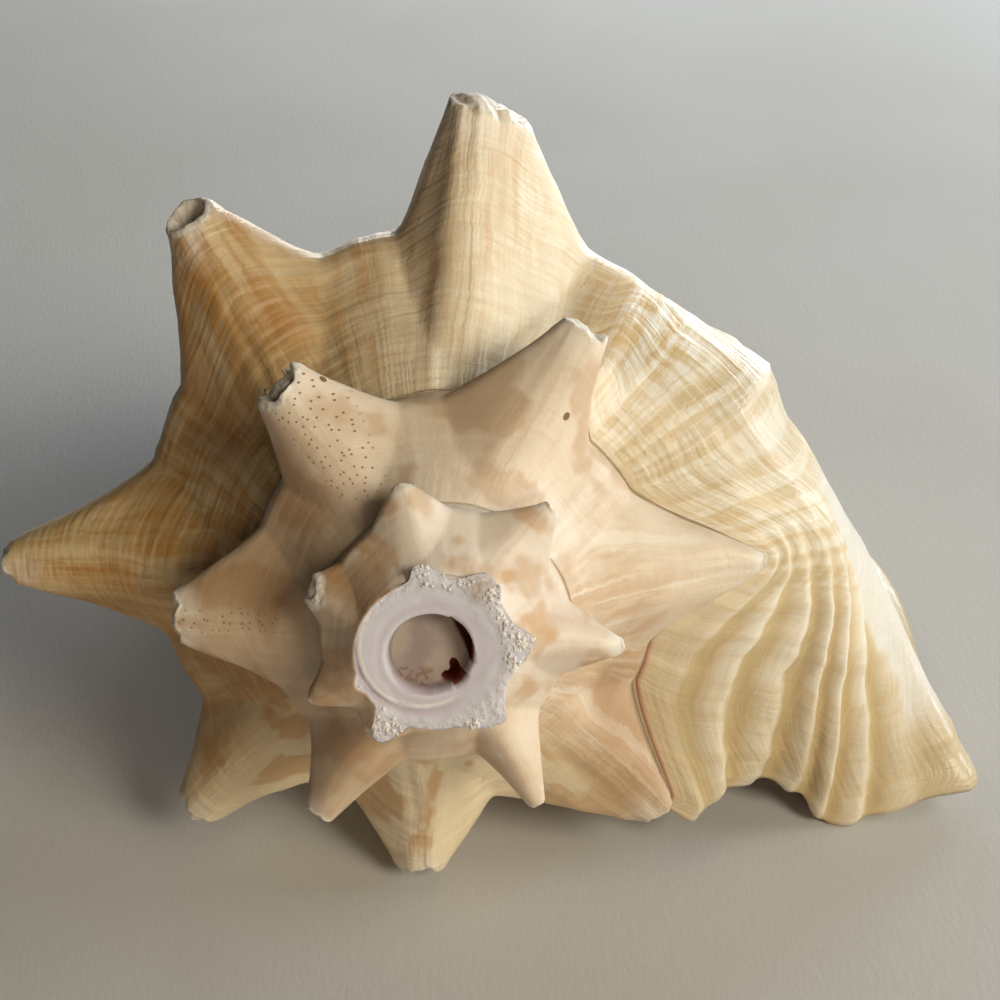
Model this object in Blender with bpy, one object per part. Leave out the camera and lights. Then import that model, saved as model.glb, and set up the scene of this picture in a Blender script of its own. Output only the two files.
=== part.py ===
"""A horned conch shell, grown as one piece.

A short spire of whorls carries one row of horns on its shoulder, the apex is broken off, the
body whorl tapers to the siphonal tip, and the last part flares into a wide lip over the aperture.
The shell lies as at rest: aperture down, spire toward -Y, lip toward +X.
"""

import functools
import math
from dataclasses import dataclass

import bmesh
import bpy
import numpy as np
from mathutils import Matrix

NAME = "conch_shell"
METRES = 0.001
SHARP_ANGLE = math.radians(50.0)

# Spiral of the shoulder, in millimetres and degrees: the angle falls as the shell grows
SHOULDER_RADIUS = 73.6
GROWTH_PER_TURN = 1.711
SPIRE_SLOPE = 1.20
FIRST_ANGLE = 1248.0
LAST_ANGLE = -47.0
WING_ANGLE = 63.0
COLUMN_STEP = 5.0
APEX_LEVEL = -6.0

# Profile across a whorl: place 0 is the upper suture, EDGE the shoulder, 1 the lower suture,
# and 1 to 2 the body down to the siphonal tip; lengths are in parts of the shoulder radius
SUTURE_DROP = 0.12
SUTURE_INSET = 0.985
RAMP_SHARE = 0.86
RAMP_SAG = 0.035
RAMP_LENGTH = 0.60
CURVE_START = 0.70
EDGE = 0.85
SHIFT_FADE = 1.2
SHIFT_SPREAD = 7.0
SHIFT_REACH = 0.35

# Body below the shoulder, in millimetres
TIP_LEVEL = -222.0
TIP_RADIUS = 7.0
TIP_GAP = 5.0
TIP_RISE = 4.6
TIP_ROUND = 1.5
TAPER = 0.75

# Lip and aperture, in millimetres and degrees; the glazed inside stops short of the siphonal tip
# and of the suture by a share that grows with depth: first share, growth, depth of full growth
FLARE_POWER = 2.5
WING_SWELL = 13.0
SWELL_HEADING = (0.6, 0.8)
LIP_THICKNESS = 3.2
THIN_PLACE = 0.3
CALLUS = 0.4
PARIETAL_LEAD = 4.0
CAVITY_END = 300.0
CAVITY_STEP = 20.0
CAVITY_SHRINK = 0.55
CANAL_SHORT = (0.04, 0.40, 120.0)
CORNER_LOW = (0.03, 0.12, 60.0)
MOUTH_DEPTHS = (0.0, 3.0, 8.0, 15.0, 25.0, 37.0, 51.0, 67.0, 85.0)

# Rows across the profile
RAMP_ROWS = 12
EDGE_ROWS = 5
BODY_ROWS = 11
BODY_SPACING = 1.15
SPIRE_ROWS = 6
SPIRE_EDGE = (CURVE_START, 0.78, EDGE, 0.93, 1.0)

# Attitude at rest, middle of the outline on the floor, and depth of wear where the shell rests
TILT = 20.0
MIDDLE = (15.55, 112.45)
WEAR = 0.45

# Broken apex: middle, level and slope of the break, and the hole in it
BREAK_MIDDLE = (0.0, -1.5)
BREAK_LEVEL = -17.9
BREAK_SLOPE = (-0.07, 0.10)
BREAK_WAVE = 0.35
BREAK_RINGS = (2.5, 4.6, 6.0, 7.0, 7.6, 8.6, 11.0, 13.5, 16.0, 19.5, 30.0)
BREAK_STEPS = 26
BREAK_TOP = 12.0
HOLE_RADIUS = 7.6
BOWL_DEPTH = 8.0
GAP_DEPTH = 13.0
GAP_TURN = 0.35
GAP_START = 4.5
RIM_START = 15.2
RIM_LIFT = 0.5
PIT_DEPTH = 15.0
PIT_PLACE = (4.6, -5.0)

# Shape of every horn: steepness, reach up the ramp and down the body, and where the hold fades
HORN_POWER = 1.4
HORN_UPHILL = 0.50
HORN_DOWNHILL = 0.42
HOLD_START = -8.0
HOLD_FADE = 6.0


@dataclass(frozen=True)
class Horn:
    """One horn on the shoulder, in degrees and millimetres."""

    angle: float
    reach: float
    tip: float
    low: float
    high: float
    lift: float = 0.0
    lean: float = 0.0
    hold_low: float = 0.0
    hold_high: float = 0.0


# Half widths at the tip and at the base toward lower and higher angle; hold is how far the next
# whorl is drawn out along the horn
HORNS = (
    Horn(30.5, 2.9, 4.0, 12.5, 12.0),
    Horn(83.5, 25.0, 6.5, 25.0, 14.0, 3.0, 0.05),
    Horn(126.5, 21.5, 4.8, 18.0, 20.0, 3.0, -0.14),
    Horn(178.0, 28.8, 1.6, 19.0, 19.0, 3.0, 0.10),
    Horn(227.5, 18.5, 3.8, 15.0, 13.0, 3.0, -0.05),
    Horn(268.5, 13.2, 4.8, 16.0, 15.0, 3.0),
    Horn(313.5, 21.5, 3.0, 23.0, 15.0, 0.0, 0.0, 1.0, 1.0),
    Horn(363.5, 21.0, 1.6, 15.0, 17.0, 0.0, 0.04, 1.0, 0.85),
    Horn(420.6, 18.5, 4.5, 12.0, 18.0, 3.5, 0.0, 0.9, 0.0),
    Horn(480.1, 13.8, 4.8, 14.0, 12.0, 3.0, 0.20),
    Horn(541.5, 13.5, 5.0, 16.0, 16.0, 3.0),
    Horn(602.0, 14.0, 2.8, 10.0, 10.0, 3.0),
    Horn(664.0, 13.5, 1.6, 7.5, 7.5, 2.0, -0.25),
    Horn(713.0, 9.5, 1.6, 8.0, 8.0, 1.0),
    Horn(766.2, 7.4, 1.8, 8.0, 9.0, 1.0),
    Horn(820.6, 5.8, 1.2, 8.0, 8.0, 1.0),
    Horn(877.1, 3.0, 2.6, 6.0, 6.0, 1.0),
    Horn(928.0, 5.8, 0.8, 5.0, 5.0, 1.0),
    Horn(959.0, 3.4, 1.5, 5.5, 5.5, 2.5),
    Horn(1030.0, 3.6, 1.5, 5.0, 5.0, 0.5),
    Horn(1080.0, 3.4, 1.4, 4.5, 4.5),
    Horn(1130.0, 3.2, 1.4, 4.0, 4.0),
)

# Margin of the lip from the suture round to the siphonal tip: profile place, then x, y, z
MARGIN = (
    (0.08, 53.0, -52.5, -61.0),
    (0.16, 57.5, -49.5, -64.0),
    (0.24, 62.5, -48.0, -68.0),
    (0.32, 69.4, -48.2, -71.6),
    (0.40, 75.1, -50.6, -71.8),
    (0.49, 79.9, -55.4, -71.2),
    (0.56, 83.3, -58.1, -71.3),
    (0.66, 92.8, -57.2, -72.8),
    (0.76, 104.8, -53.8, -74.4),
    (0.85, 115.0, -51.2, -76.0),
    (1.00, 112.5, -46.4, -91.0),
    (1.12, 111.4, -39.5, -108.0),
    (1.26, 112.5, -31.5, -130.0),
    (1.40, 109.5, -24.0, -152.0),
    (1.54, 100.0, -17.5, -172.0),
    (1.66, 86.0, -12.0, -187.0),
    (1.78, 69.0, -5.0, -194.0),
    (1.87, 48.0, -3.5, -203.0),
    (1.94, 30.0, -4.0, -213.0),
)


def radius_at(angle):
    """Shoulder radius at a growth angle."""
    return SHOULDER_RADIUS * GROWTH_PER_TURN ** (-angle / 360.0)


def suture_at(angle):
    """Radius and height of the line where the next whorl joins this one."""
    radius = radius_at(angle)
    return np.array([SUTURE_INSET * radius, -(SPIRE_SLOPE + SUTURE_DROP) * radius])


def ramp_at(angle, share):
    """Radius and height on the hollowed ramp, at a share of the way to the shoulder corner."""
    radius = radius_at(angle)
    upper = suture_at(angle + 360.0)
    corner = np.array([radius, -SPIRE_SLOPE * radius])
    point = upper + (corner - upper) * share
    point[1] -= RAMP_SAG * radius * 4.0 * share * (1.0 - share)
    return point


def whorl_profile(angle, place):
    """Radius and height on the plain whorl at a profile place."""
    if place <= CURVE_START:
        return ramp_at(angle, place / CURVE_START * RAMP_SHARE)
    radius = radius_at(angle)
    lower = suture_at(angle)
    if place <= 1.0:
        start = ramp_at(angle, RAMP_SHARE)
        corner = np.array([radius, -SPIRE_SLOPE * radius])
        turn = (place - CURVE_START) / (1.0 - CURVE_START)
        return (1.0 - turn) ** 2 * start + 2.0 * turn * (1.0 - turn) * corner + turn ** 2 * lower
    down = place - 1.0
    tip = TIP_RADIUS + TIP_GAP * (LAST_ANGLE + 360.0 - angle) / 360.0
    narrow = TAPER * down + (1.0 - TAPER) * down ** 2
    return lower + (np.array([tip, TIP_LEVEL]) - lower) * np.array([narrow, down])


def outward_at(angle):
    """Direction away from the axis."""
    turn = math.radians(angle)
    return np.array([math.cos(turn), math.sin(turn), 0.0])


def to_space(angle, profile, place):
    """Turn a profile point about the axis; the siphonal end rises a little."""
    rise = TIP_RISE * max(place - 1.0, 0.0) ** 1.5
    return outward_at(angle) * profile[0] + np.array([0.0, rise, profile[1]])


def ease(value):
    """Smooth step from 0 to 1."""
    value = min(max(value, 0.0), 1.0)
    return value * value * (3.0 - 2.0 * value)


def horn_spread(horn, angle, place, on_body):
    """Distance from the middle of a horn, as a share of the width of its base."""
    radius = radius_at(horn.angle)
    along = math.radians(angle - horn.angle) * radius
    width = horn.high if along > 0.0 else horn.low
    if place < EDGE:
        return math.hypot(along / width, (EDGE - place) / EDGE * RAMP_LENGTH / HORN_UPHILL)
    hold = horn.hold_low + (horn.hold_high - horn.hold_low) * ease((along - HOLD_START) / HOLD_FADE)
    wall = (min(place, 1.0) - EDGE) / (1.0 - EDGE) * (1.0 - hold)
    if not on_body:
        return math.hypot(along / width, wall)
    body_length = -TIP_LEVEL - (SPIRE_SLOPE + SUTURE_DROP) * radius
    drop = wall * SUTURE_DROP * radius + max(place - 1.0, 0.0) * body_length
    return math.hypot(along / width, drop / (HORN_DOWNHILL * radius))


def horn_push(angle, place, point, on_body):
    """Move a point of the plain whorl outward where a horn stands; broken tips end flat."""
    for horn in HORNS:
        if abs(math.radians(angle - horn.angle)) * radius_at(horn.angle) >= max(horn.low, horn.high):
            continue
        spread = horn_spread(horn, angle, place, on_body)
        if spread >= 1.0:
            continue
        outward = outward_at(horn.angle)
        sideways = np.array([-outward[1], outward[0], 0.0])
        heading = (outward + sideways * horn.lean) * horn.reach + np.array([0.0, 0.0, horn.lift])
        length = np.linalg.norm(heading)
        heading = heading / length
        whole = length / (1.0 - 2.0 * horn.tip / (horn.low + horn.high)) ** HORN_POWER
        root = to_space(horn.angle, whorl_profile(horn.angle, EDGE), EDGE)
        point = point + heading * whole * (1.0 - spread) ** HORN_POWER
        point = point - heading * max((point - root) @ heading - length, 0.0)
    return point


@functools.lru_cache(maxsize=None)
def suture_shift(angle):
    """How far the horns of the whorl before carry the suture from its plain line."""
    plain = to_space(angle + 360.0, suture_at(angle + 360.0), 1.0)
    return horn_push(angle + 360.0, 1.0, plain, False) - plain


@functools.lru_cache(maxsize=None)
def ramp_shift(angle):
    """The same shift as the ramp further out feels it, evened out along the growth."""
    steps = (-2, -1, 0, 1, 2)
    return np.mean([suture_shift(angle + SHIFT_SPREAD * step) for step in steps], axis=0)


def whorl_point(angle, place, horned=True):
    """Point on the outer face before the lip flares."""
    point = to_space(angle, whorl_profile(angle, place), place)
    if place < EDGE:
        near = ease(place / SHIFT_REACH)
        shift = suture_shift(angle) * (1.0 - near) + ramp_shift(angle) * near
        point = point + shift * (1.0 - place / EDGE) ** SHIFT_FADE
    if horned:
        point = horn_push(angle, place, point, angle <= LAST_ANGLE + 360.0)
    return point


def smooth_curve(knots, place):
    """Point at a place on the smooth curve through the knots (place, x, y, z)."""
    index = 0
    while index < len(knots) - 2 and place > knots[index + 1][0]:
        index += 1
    before = knots[max(index - 1, 0)]
    start = knots[index]
    stop = knots[index + 1]
    after = knots[min(index + 2, len(knots) - 1)]
    span = stop[0] - start[0]
    share = min(max((place - start[0]) / span, 0.0), 1.0)
    leave = (stop[1:] - before[1:]) / (stop[0] - before[0]) * span
    arrive = (after[1:] - start[1:]) / (after[0] - start[0]) * span
    square = share ** 2
    cube = share ** 3
    point = (2.0 * cube - 3.0 * square + 1.0) * start[1:] + (cube - 2.0 * square + share) * leave
    return point + (3.0 * square - 2.0 * cube) * stop[1:] + (cube - square) * arrive


@functools.lru_cache(maxsize=None)
def margin_knots():
    """Knots of the lip margin, tied to the suture and to the siphonal tip."""
    first = np.array([0.0, *whorl_point(LAST_ANGLE, 0.0)])
    last = np.array([2.0, *whorl_point(LAST_ANGLE, 2.0)])
    return [first] + [np.array(row) for row in MARGIN] + [last]


def skin_point(angle, place, horned=True):
    """Point on the outer face of the shell, with the flare and the swell of the lip."""
    point = whorl_point(angle, place, horned)
    if angle >= WING_ANGLE:
        return point
    growth = (WING_ANGLE - angle) / (WING_ANGLE - LAST_ANGLE)
    flare = smooth_curve(margin_knots(), place) - whorl_point(LAST_ANGLE, place, horned)
    point = point + flare * growth ** FLARE_POWER
    if place < EDGE:
        swell = WING_SWELL * math.sin(math.pi * place / EDGE) * 4.0 * growth * (1.0 - growth)
        upward = np.array([0.0, 0.0, SWELL_HEADING[1]])
        point = point + (outward_at(angle) * SWELL_HEADING[0] + upward) * swell
    return point


def skin_normal(angle, place):
    """Outward direction of the outer face without its horns."""
    low = max(angle - 1.5, LAST_ANGLE)
    along = skin_point(angle + 1.5, place, False) - skin_point(low, place, False)
    first = skin_point(angle, max(place - 0.012, 0.0), False)
    second = skin_point(angle, min(place + 0.012, 2.0), False)
    normal = np.cross(second - first, along)
    return normal / np.linalg.norm(normal)


def inner_point(angle, place):
    """Point on the inner face of the lip and of the outer wall, thinner toward the suture."""
    thickness = LIP_THICKNESS * (0.5 + 0.5 * ease(place / THIN_PLACE))
    return skin_point(angle, place, False) - skin_normal(angle, place) * thickness


def parietal_point(angle, down):
    """Point on the glazed wall of the whorl before, inside the aperture."""
    place = 1.0 + down
    point = to_space(angle, whorl_profile(angle, place), place)
    return horn_push(angle, place, point, True) + outward_at(angle) * CALLUS


def body_places():
    """Profile places of a full column, from the upper suture to the siphonal tip."""
    ramp = [CURVE_START * index / RAMP_ROWS for index in range(RAMP_ROWS)]
    edge = [CURVE_START + (1.0 - CURVE_START) * index / EDGE_ROWS for index in range(EDGE_ROWS)]
    body = [1.0 + (index / BODY_ROWS) ** BODY_SPACING for index in range(BODY_ROWS + 1)]
    return ramp + edge + body


def spire_places():
    """Profile places of a spire column, from the upper to the lower suture."""
    ramp = [CURVE_START * index / SPIRE_ROWS for index in range(SPIRE_ROWS)]
    return ramp + list(SPIRE_EDGE)


class Sheet:
    """Vertices and faces of the shell while it is laid out."""

    def __init__(self):
        self.points = []
        self.faces = []

    def add(self, point):
        """Add a vertex and return its number."""
        self.points.append(tuple(point))
        return len(self.points) - 1

    def face(self, corners):
        """Add a face, leaving out repeated corners."""
        kept = [corner for index, corner in enumerate(corners) if corner != corners[index - 1]]
        if len(kept) > 2:
            self.faces.append(kept)

    def middle_of(self, vertices):
        """Mean position of some vertices."""
        return np.mean([self.points[vertex] for vertex in vertices], axis=0)

    def bridge(self, ring, fresh):
        """Join two closed rings with the same number of vertices."""
        for index in range(len(ring)):
            after = (index + 1) % len(ring)
            self.face([ring[index], ring[after], fresh[after], fresh[index]])

    def stitch(self, left, right):
        """Join two columns of (place, vertex) that may differ in their number of rows."""
        i = 0
        j = 0
        while i < len(left) - 1 or j < len(right) - 1:
            both = i < len(left) - 1 and j < len(right) - 1
            if both and abs(left[i + 1][0] - right[j + 1][0]) < 1e-6:
                self.face([left[i][1], left[i + 1][1], right[j + 1][1], right[j][1]])
                i += 1
                j += 1
            elif j >= len(right) - 1 or (both and left[i + 1][0] < right[j + 1][0]):
                self.face([left[i][1], left[i + 1][1], right[j][1]])
                i += 1
            else:
                self.face([left[i][1], right[j + 1][1], right[j][1]])
                j += 1


def lay_columns(sheet, turn):
    """Lay the outer face column by column; each ramp starts on the suture of the whorl before."""
    count = round((FIRST_ANGLE - LAST_ANGLE) / COLUMN_STEP)
    columns = []
    for number in range(count + 1):
        angle = LAST_ANGLE + COLUMN_STEP * (count - number)
        places = body_places() if count - number <= turn else spire_places()
        column = []
        for place in places:
            if place == 0.0 and number >= turn:
                vertex = next(row[1] for row in columns[number - turn] if abs(row[0] - 1.0) < 1e-9)
            else:
                vertex = sheet.add(skin_point(angle, place))
            column.append((place, vertex))
        columns.append(column)
    for left, right in zip(columns, columns[1:]):
        if left[-1][0] < right[-1][0]:
            right = [row for row in right if row[0] <= 1.0 + 1e-9]
        sheet.stitch(left, right)
    return columns


def close_apex(sheet, columns, turn):
    """Close the small end of the spiral with a fan."""
    centre = sheet.add((0.0, 0.0, APEX_LEVEL))
    for left, right in zip(columns[:turn], columns[1:turn + 1]):
        sheet.face([left[0][1], right[0][1], centre])
    for first, second in zip(columns[0], columns[0][1:]):
        sheet.face([second[1], first[1], centre])


def close_tip(sheet, columns, turn):
    """Close the siphonal tip with a low rounded fan."""
    loop = [column[-1][1] for column in columns[-1 - turn:]]
    centre = sheet.add(sheet.middle_of(loop) - np.array([0.0, 0.0, TIP_ROUND]))
    for first, second in zip(loop, loop[1:] + loop[:1]):
        sheet.face([first, centre, second])


def build_aperture(sheet, columns, turn):
    """Build the rim of the lip and the glazed inside, back into the body whorl."""
    lip = columns[-1]
    wall = [row for row in columns[-1 - turn] if row[0] >= 1.0 - 1e-9][::-1]
    ring = [row[1] for row in lip] + [row[1] for row in wall[:-1]]
    depths = list(MOUTH_DEPTHS)
    while depths[-1] + CAVITY_STEP < CAVITY_END - LAST_ANGLE:
        depths.append(depths[-1] + CAVITY_STEP)
    for depth in depths:
        angle = LAST_ANGLE + depth
        short = CANAL_SHORT[0] + CANAL_SHORT[1] * ease(depth / CANAL_SHORT[2])
        low = CORNER_LOW[0] + CORNER_LOW[1] * ease(depth / CORNER_LOW[2])
        points = []
        for place, vertex in lip:
            inset = low * max(1.0 - place / 0.5, 0.0) ** 2
            inset -= short * max((place - 1.2) / 0.8, 0.0) ** 1.5
            points.append(inner_point(angle, place + inset))
        for place, vertex in wall[:-1]:
            down = 0.02 + (0.96 - short) * (place - 1.0)
            points.append(parietal_point(angle + 360.0 + PARIETAL_LEAD, down))
        if depth == depths[-1]:
            middle = np.mean(points, axis=0)
            points = [middle + (point - middle) * CAVITY_SHRINK for point in points]
        fresh = [sheet.add(point) for point in points]
        sheet.bridge(ring, fresh)
        ring = fresh
    middle = sheet.add(sheet.middle_of(ring))
    for first, second in zip(ring, ring[1:] + ring[:1]):
        sheet.face([first, second, middle])


def build_shell():
    """Lay out the outer face, the rim, the glazed inside and the closing faces as one skin."""
    sheet = Sheet()
    turn = round(360.0 / COLUMN_STEP)
    columns = lay_columns(sheet, turn)
    close_apex(sheet, columns, turn)
    close_tip(sheet, columns, turn)
    build_aperture(sheet, columns, turn)
    return sheet


def break_height(across, up):
    """Height of the broken face at a place round the middle of the apex."""
    distance = math.hypot(across, up)
    turn = math.atan2(up, across)
    level = BREAK_LEVEL + BREAK_SLOPE[0] * across + BREAK_SLOPE[1] * up
    level += BREAK_WAVE * (math.sin(3.0 * turn + 0.6) + 0.6 * math.sin(7.0 * turn))
    if distance >= HOLE_RADIUS:
        return level + (RIM_LIFT if distance > RIM_START else 0.0)
    sunk = ease((HOLE_RADIUS - distance) / (0.35 * HOLE_RADIUS))
    gap = max(0.0, math.cos(turn - GAP_TURN)) ** 2 * ease((distance - GAP_START) / 1.5)
    pit = ease(1.6 - math.hypot(across - PIT_PLACE[0], up - PIT_PLACE[1]) / 2.0)
    depth = BOWL_DEPTH * sunk
    depth += (GAP_DEPTH - BOWL_DEPTH) * gap * min(sunk * 3.0, 1.0)
    depth += (PIT_DEPTH - BOWL_DEPTH) * pit * sunk * (1.0 - gap)
    return level - depth


def build_broken_apex():
    """Lay out the body that takes off the apex: its underside is the broken face and the bowl."""
    sheet = Sheet()
    rings = []
    for distance in BREAK_RINGS + BREAK_RINGS[-1:]:
        ring = []
        for step in range(BREAK_STEPS):
            across, up, flat = outward_at(360.0 * step / BREAK_STEPS) * distance
            height = BREAK_TOP if len(rings) == len(BREAK_RINGS) else break_height(across, up)
            ring.append(sheet.add((BREAK_MIDDLE[0] + across, BREAK_MIDDLE[1] + up, height)))
        rings.append(ring)
    for inner, outer in zip(rings, rings[1:]):
        sheet.bridge(inner, outer)
    bottom = sheet.add((*BREAK_MIDDLE, break_height(0.0, 0.0)))
    roof = sheet.add((*BREAK_MIDDLE, BREAK_TOP))
    for step in range(BREAK_STEPS):
        after = (step + 1) % BREAK_STEPS
        sheet.face([rings[0][after], rings[0][step], bottom])
        sheet.face([rings[-1][step], rings[-1][after], roof])
    return sheet


def to_rest(points):
    """Turn shell coordinates to the attitude at rest, spire toward -Y, in millimetres."""
    tilt = math.radians(TILT)
    points = np.asarray(points)
    across = points[:, 1] * math.sin(tilt) - points[:, 2] * math.cos(tilt)
    height = points[:, 1] * math.cos(tilt) + points[:, 2] * math.sin(tilt)
    return np.stack([points[:, 0] - MIDDLE[0], across - MIDDLE[1], height], axis=1)


def shell_material():
    """Cream shell with a dull, slightly waxy face."""
    material = bpy.data.materials.new("shell_cream")
    material.use_nodes = True
    surface = material.node_tree.nodes["Principled BSDF"]
    surface.inputs["Base Color"].default_value = (0.76, 0.60, 0.40, 1.0)
    surface.inputs["Roughness"].default_value = 0.5
    surface.inputs["Metallic"].default_value = 0.0
    return material


def add_object(name, sheet, floor, collection):
    """Make a mesh object at rest on the floor from a laid-out sheet."""
    points = to_rest(sheet.points)
    points[:, 2] -= floor
    mesh = bpy.data.meshes.new(name)
    mesh.from_pydata([tuple(point) for point in points * METRES], [], sheet.faces)
    made = bmesh.new()
    made.from_mesh(mesh)
    bmesh.ops.recalc_face_normals(made, faces=made.faces)
    bmesh.ops.triangulate(made, faces=made.faces)
    made.to_mesh(mesh)
    made.free()
    thing = bpy.data.objects.new(name, mesh)
    collection.objects.link(thing)
    return thing


def cut(target, cutter):
    """Take the cutter away from the target."""
    cutter.hide_render = True
    cutter.display_type = "WIRE"
    modifier = target.modifiers.new("cut_" + cutter.name, "BOOLEAN")
    modifier.operation = "DIFFERENCE"
    modifier.object = cutter
    modifier.solver = "EXACT"


def add_floor_block(collection):
    """Add the block below the floor that wears the resting points flat."""
    bpy.ops.mesh.primitive_cube_add(size=1.0, location=(0.0, 0.0, -0.025))
    block = bpy.context.object
    block.name = "worn_flats"
    block.data.transform(Matrix.Diagonal((0.4, 0.4, 0.05, 1.0)))
    for owner in list(block.users_collection):
        owner.objects.unlink(block)
    collection.objects.link(block)
    return block


def main():
    """Build the shell."""
    for thing in list(bpy.data.objects):
        bpy.data.objects.remove(thing, do_unlink=True)
    part = bpy.data.collections.new(NAME)
    cutters = bpy.data.collections.new(NAME + "_cutters")
    bpy.context.scene.collection.children.link(part)
    bpy.context.scene.collection.children.link(cutters)
    sheet = build_shell()
    floor = to_rest(sheet.points)[:, 2].min() + WEAR
    shell = add_object(NAME, sheet, floor, part)
    shell.data.materials.append(shell_material())
    cut(shell, add_object("broken_apex", build_broken_apex(), floor, cutters))
    cut(shell, add_floor_block(cutters))
    shell.data.shade_smooth()
    shell.data.set_sharp_from_angle(angle=SHARP_ANGLE)


main()
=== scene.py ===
"""A horned conch shell at rest on a pale table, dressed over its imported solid.

The shell is one spiral skin whose shape follows a growth rule. A Geometry Nodes tree raises the
cords, growth bands, lip ridges and broken ends on it, and a second tree strews crystal grains on
the edge of the broken apex. Lengths are in millimetres until a mesh is finished, then in metres.
"""

import logging
import math
from dataclasses import dataclass, field
from enum import Enum
from typing import Any, Callable, Sequence, Union

import bmesh
import bpy
import numpy as np
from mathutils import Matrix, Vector

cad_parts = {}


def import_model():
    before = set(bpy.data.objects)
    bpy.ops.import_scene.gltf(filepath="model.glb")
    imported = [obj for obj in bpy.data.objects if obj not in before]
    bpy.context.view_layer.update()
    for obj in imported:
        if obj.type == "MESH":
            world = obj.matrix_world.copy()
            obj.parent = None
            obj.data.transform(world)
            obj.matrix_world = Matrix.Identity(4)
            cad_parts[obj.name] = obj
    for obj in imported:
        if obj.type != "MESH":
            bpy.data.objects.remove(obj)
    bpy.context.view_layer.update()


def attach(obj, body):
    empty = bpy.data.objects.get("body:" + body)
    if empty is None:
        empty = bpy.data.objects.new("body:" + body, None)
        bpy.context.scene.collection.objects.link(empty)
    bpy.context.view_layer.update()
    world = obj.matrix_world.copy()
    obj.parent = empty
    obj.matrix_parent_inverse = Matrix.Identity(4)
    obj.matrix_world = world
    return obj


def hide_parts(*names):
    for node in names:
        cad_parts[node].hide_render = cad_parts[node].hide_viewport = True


LOG = logging.getLogger("conch")
NODE = "conch_shell"
METRES = 0.001
Number = Union[int, float]
Colour = tuple[float, float, float]


@dataclass(frozen=True)
class Horn:
    """One horn of the shoulder, in degrees and millimetres.

    Its middle lies at angle. It reaches outward and lifts upward from a foot that is low wide toward
    the lip and high wide toward the apex, leans along the growth, and holds its height down the wall
    on either side by hold_low and hold_high. Its end is broken off where it is tip in radius, with a
    pit in it, rough edges, a slant along the growth, a tilt across it and a dome; sleek keeps the
    worn side of the end free of chips.
    """

    angle: float
    reach: float
    tip: float
    low: float
    high: float
    lift: float = 0.0
    lean: float = 0.0
    hold_low: float = 0.0
    hold_high: float = 0.0
    pit: float = 0.0
    rough: float = 0.35
    slant: float = 0.0
    tilt: float = 0.0
    dome: float = 0.0
    sleek: float = 0.0


HORNS = (
    Horn(30.5, 2.9, 4.0, 12.5, 12.0, rough=0.0),
    Horn(83.5, 25.0, 6.5, 25.0, 14.0, 3.0, 0.05, pit=0.5, rough=0.3, slant=0.14, tilt=0.1, dome=2.6,
         sleek=1.0),
    Horn(126.5, 21.5, 4.8, 18.0, 20.0, 3.0, -0.14, pit=4.0, rough=0.25, tilt=0.35, dome=0.8),
    Horn(178.0, 28.2, 2.9, 18.0, 18.0, 3.0, 0.10, pit=0.5, rough=0.35, dome=1.0),
    Horn(227.5, 18.5, 3.8, 15.0, 13.0, 3.0, -0.05, pit=0.8, rough=0.45, dome=0.8),
    Horn(268.5, 13.2, 4.8, 16.0, 15.0, 3.0, pit=1.6, rough=0.6, dome=0.6),
    Horn(313.5, 21.5, 3.0, 23.0, 15.0, hold_low=1.0, hold_high=1.0),
    Horn(363.5, 21.0, 1.6, 15.0, 17.0, 0.0, 0.04, 1.0, 0.85),
    Horn(420.6, 18.5, 4.5, 12.0, 18.0, 3.5, 0.0, 0.9, 0.0, pit=0.5, rough=0.4),
    Horn(480.1, 14.4, 4.8, 14.0, 12.0, 3.0, 0.20, pit=1.8, rough=0.3, tilt=0.40, dome=0.9),
    Horn(541.5, 13.5, 5.0, 16.0, 16.0, 3.0, rough=0.4),
    Horn(602.0, 14.0, 2.8, 10.0, 10.0, 3.0),
    Horn(664.0, 13.5, 1.6, 7.5, 7.5, 2.0, -0.25),
    Horn(713.0, 9.5, 1.6, 8.0, 8.0, 1.0),
    Horn(766.2, 7.4, 1.8, 8.0, 9.0, 1.0),
    Horn(820.6, 5.8, 1.2, 8.0, 8.0, 1.0),
    Horn(877.1, 3.3, 2.6, 6.0, 6.0, 1.0, pit=0.6, rough=0.2, tilt=0.3, dome=0.7),
    Horn(928.0, 5.8, 0.8, 5.0, 5.0, 1.0),
    Horn(962.0, 2.7, 1.7, 5.5, 5.5, 2.0),
    Horn(1030.0, 3.9, 1.8, 7.0, 7.0, -0.8),
    Horn(1080.0, 3.7, 1.8, 8.0, 8.0, -1.0),
    Horn(1130.0, 3.1, 1.8, 6.5, 6.5, -0.8),
    Horn(1178.0, 2.8, 1.7, 7.0, 7.0, -0.6),
)

# Margin of the lip from the suture round to the siphonal tip: profile place, then x, y, z
MARGIN = (
    (0.08, 53.0, -52.5, -61.0),
    (0.16, 57.5, -49.5, -64.0),
    (0.24, 62.5, -48.0, -68.0),
    (0.32, 69.4, -48.2, -71.6),
    (0.40, 75.1, -50.6, -71.8),
    (0.49, 79.9, -55.4, -71.2),
    (0.56, 83.3, -58.1, -71.3),
    (0.66, 92.8, -57.2, -72.8),
    (0.76, 104.8, -53.8, -74.4),
    (0.85, 115.0, -51.2, -76.0),
    (1.00, 112.5, -46.4, -91.0),
    (1.12, 111.4, -39.5, -108.0),
    (1.26, 112.5, -31.5, -130.0),
    (1.40, 109.5, -24.0, -152.0),
    (1.54, 100.0, -17.5, -172.0),
    (1.66, 86.0, -12.0, -187.0),
    (1.78, 69.0, -5.0, -194.0),
    (1.87, 48.0, -3.5, -203.0),
    (1.94, 30.0, -4.0, -213.0),
)


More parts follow.
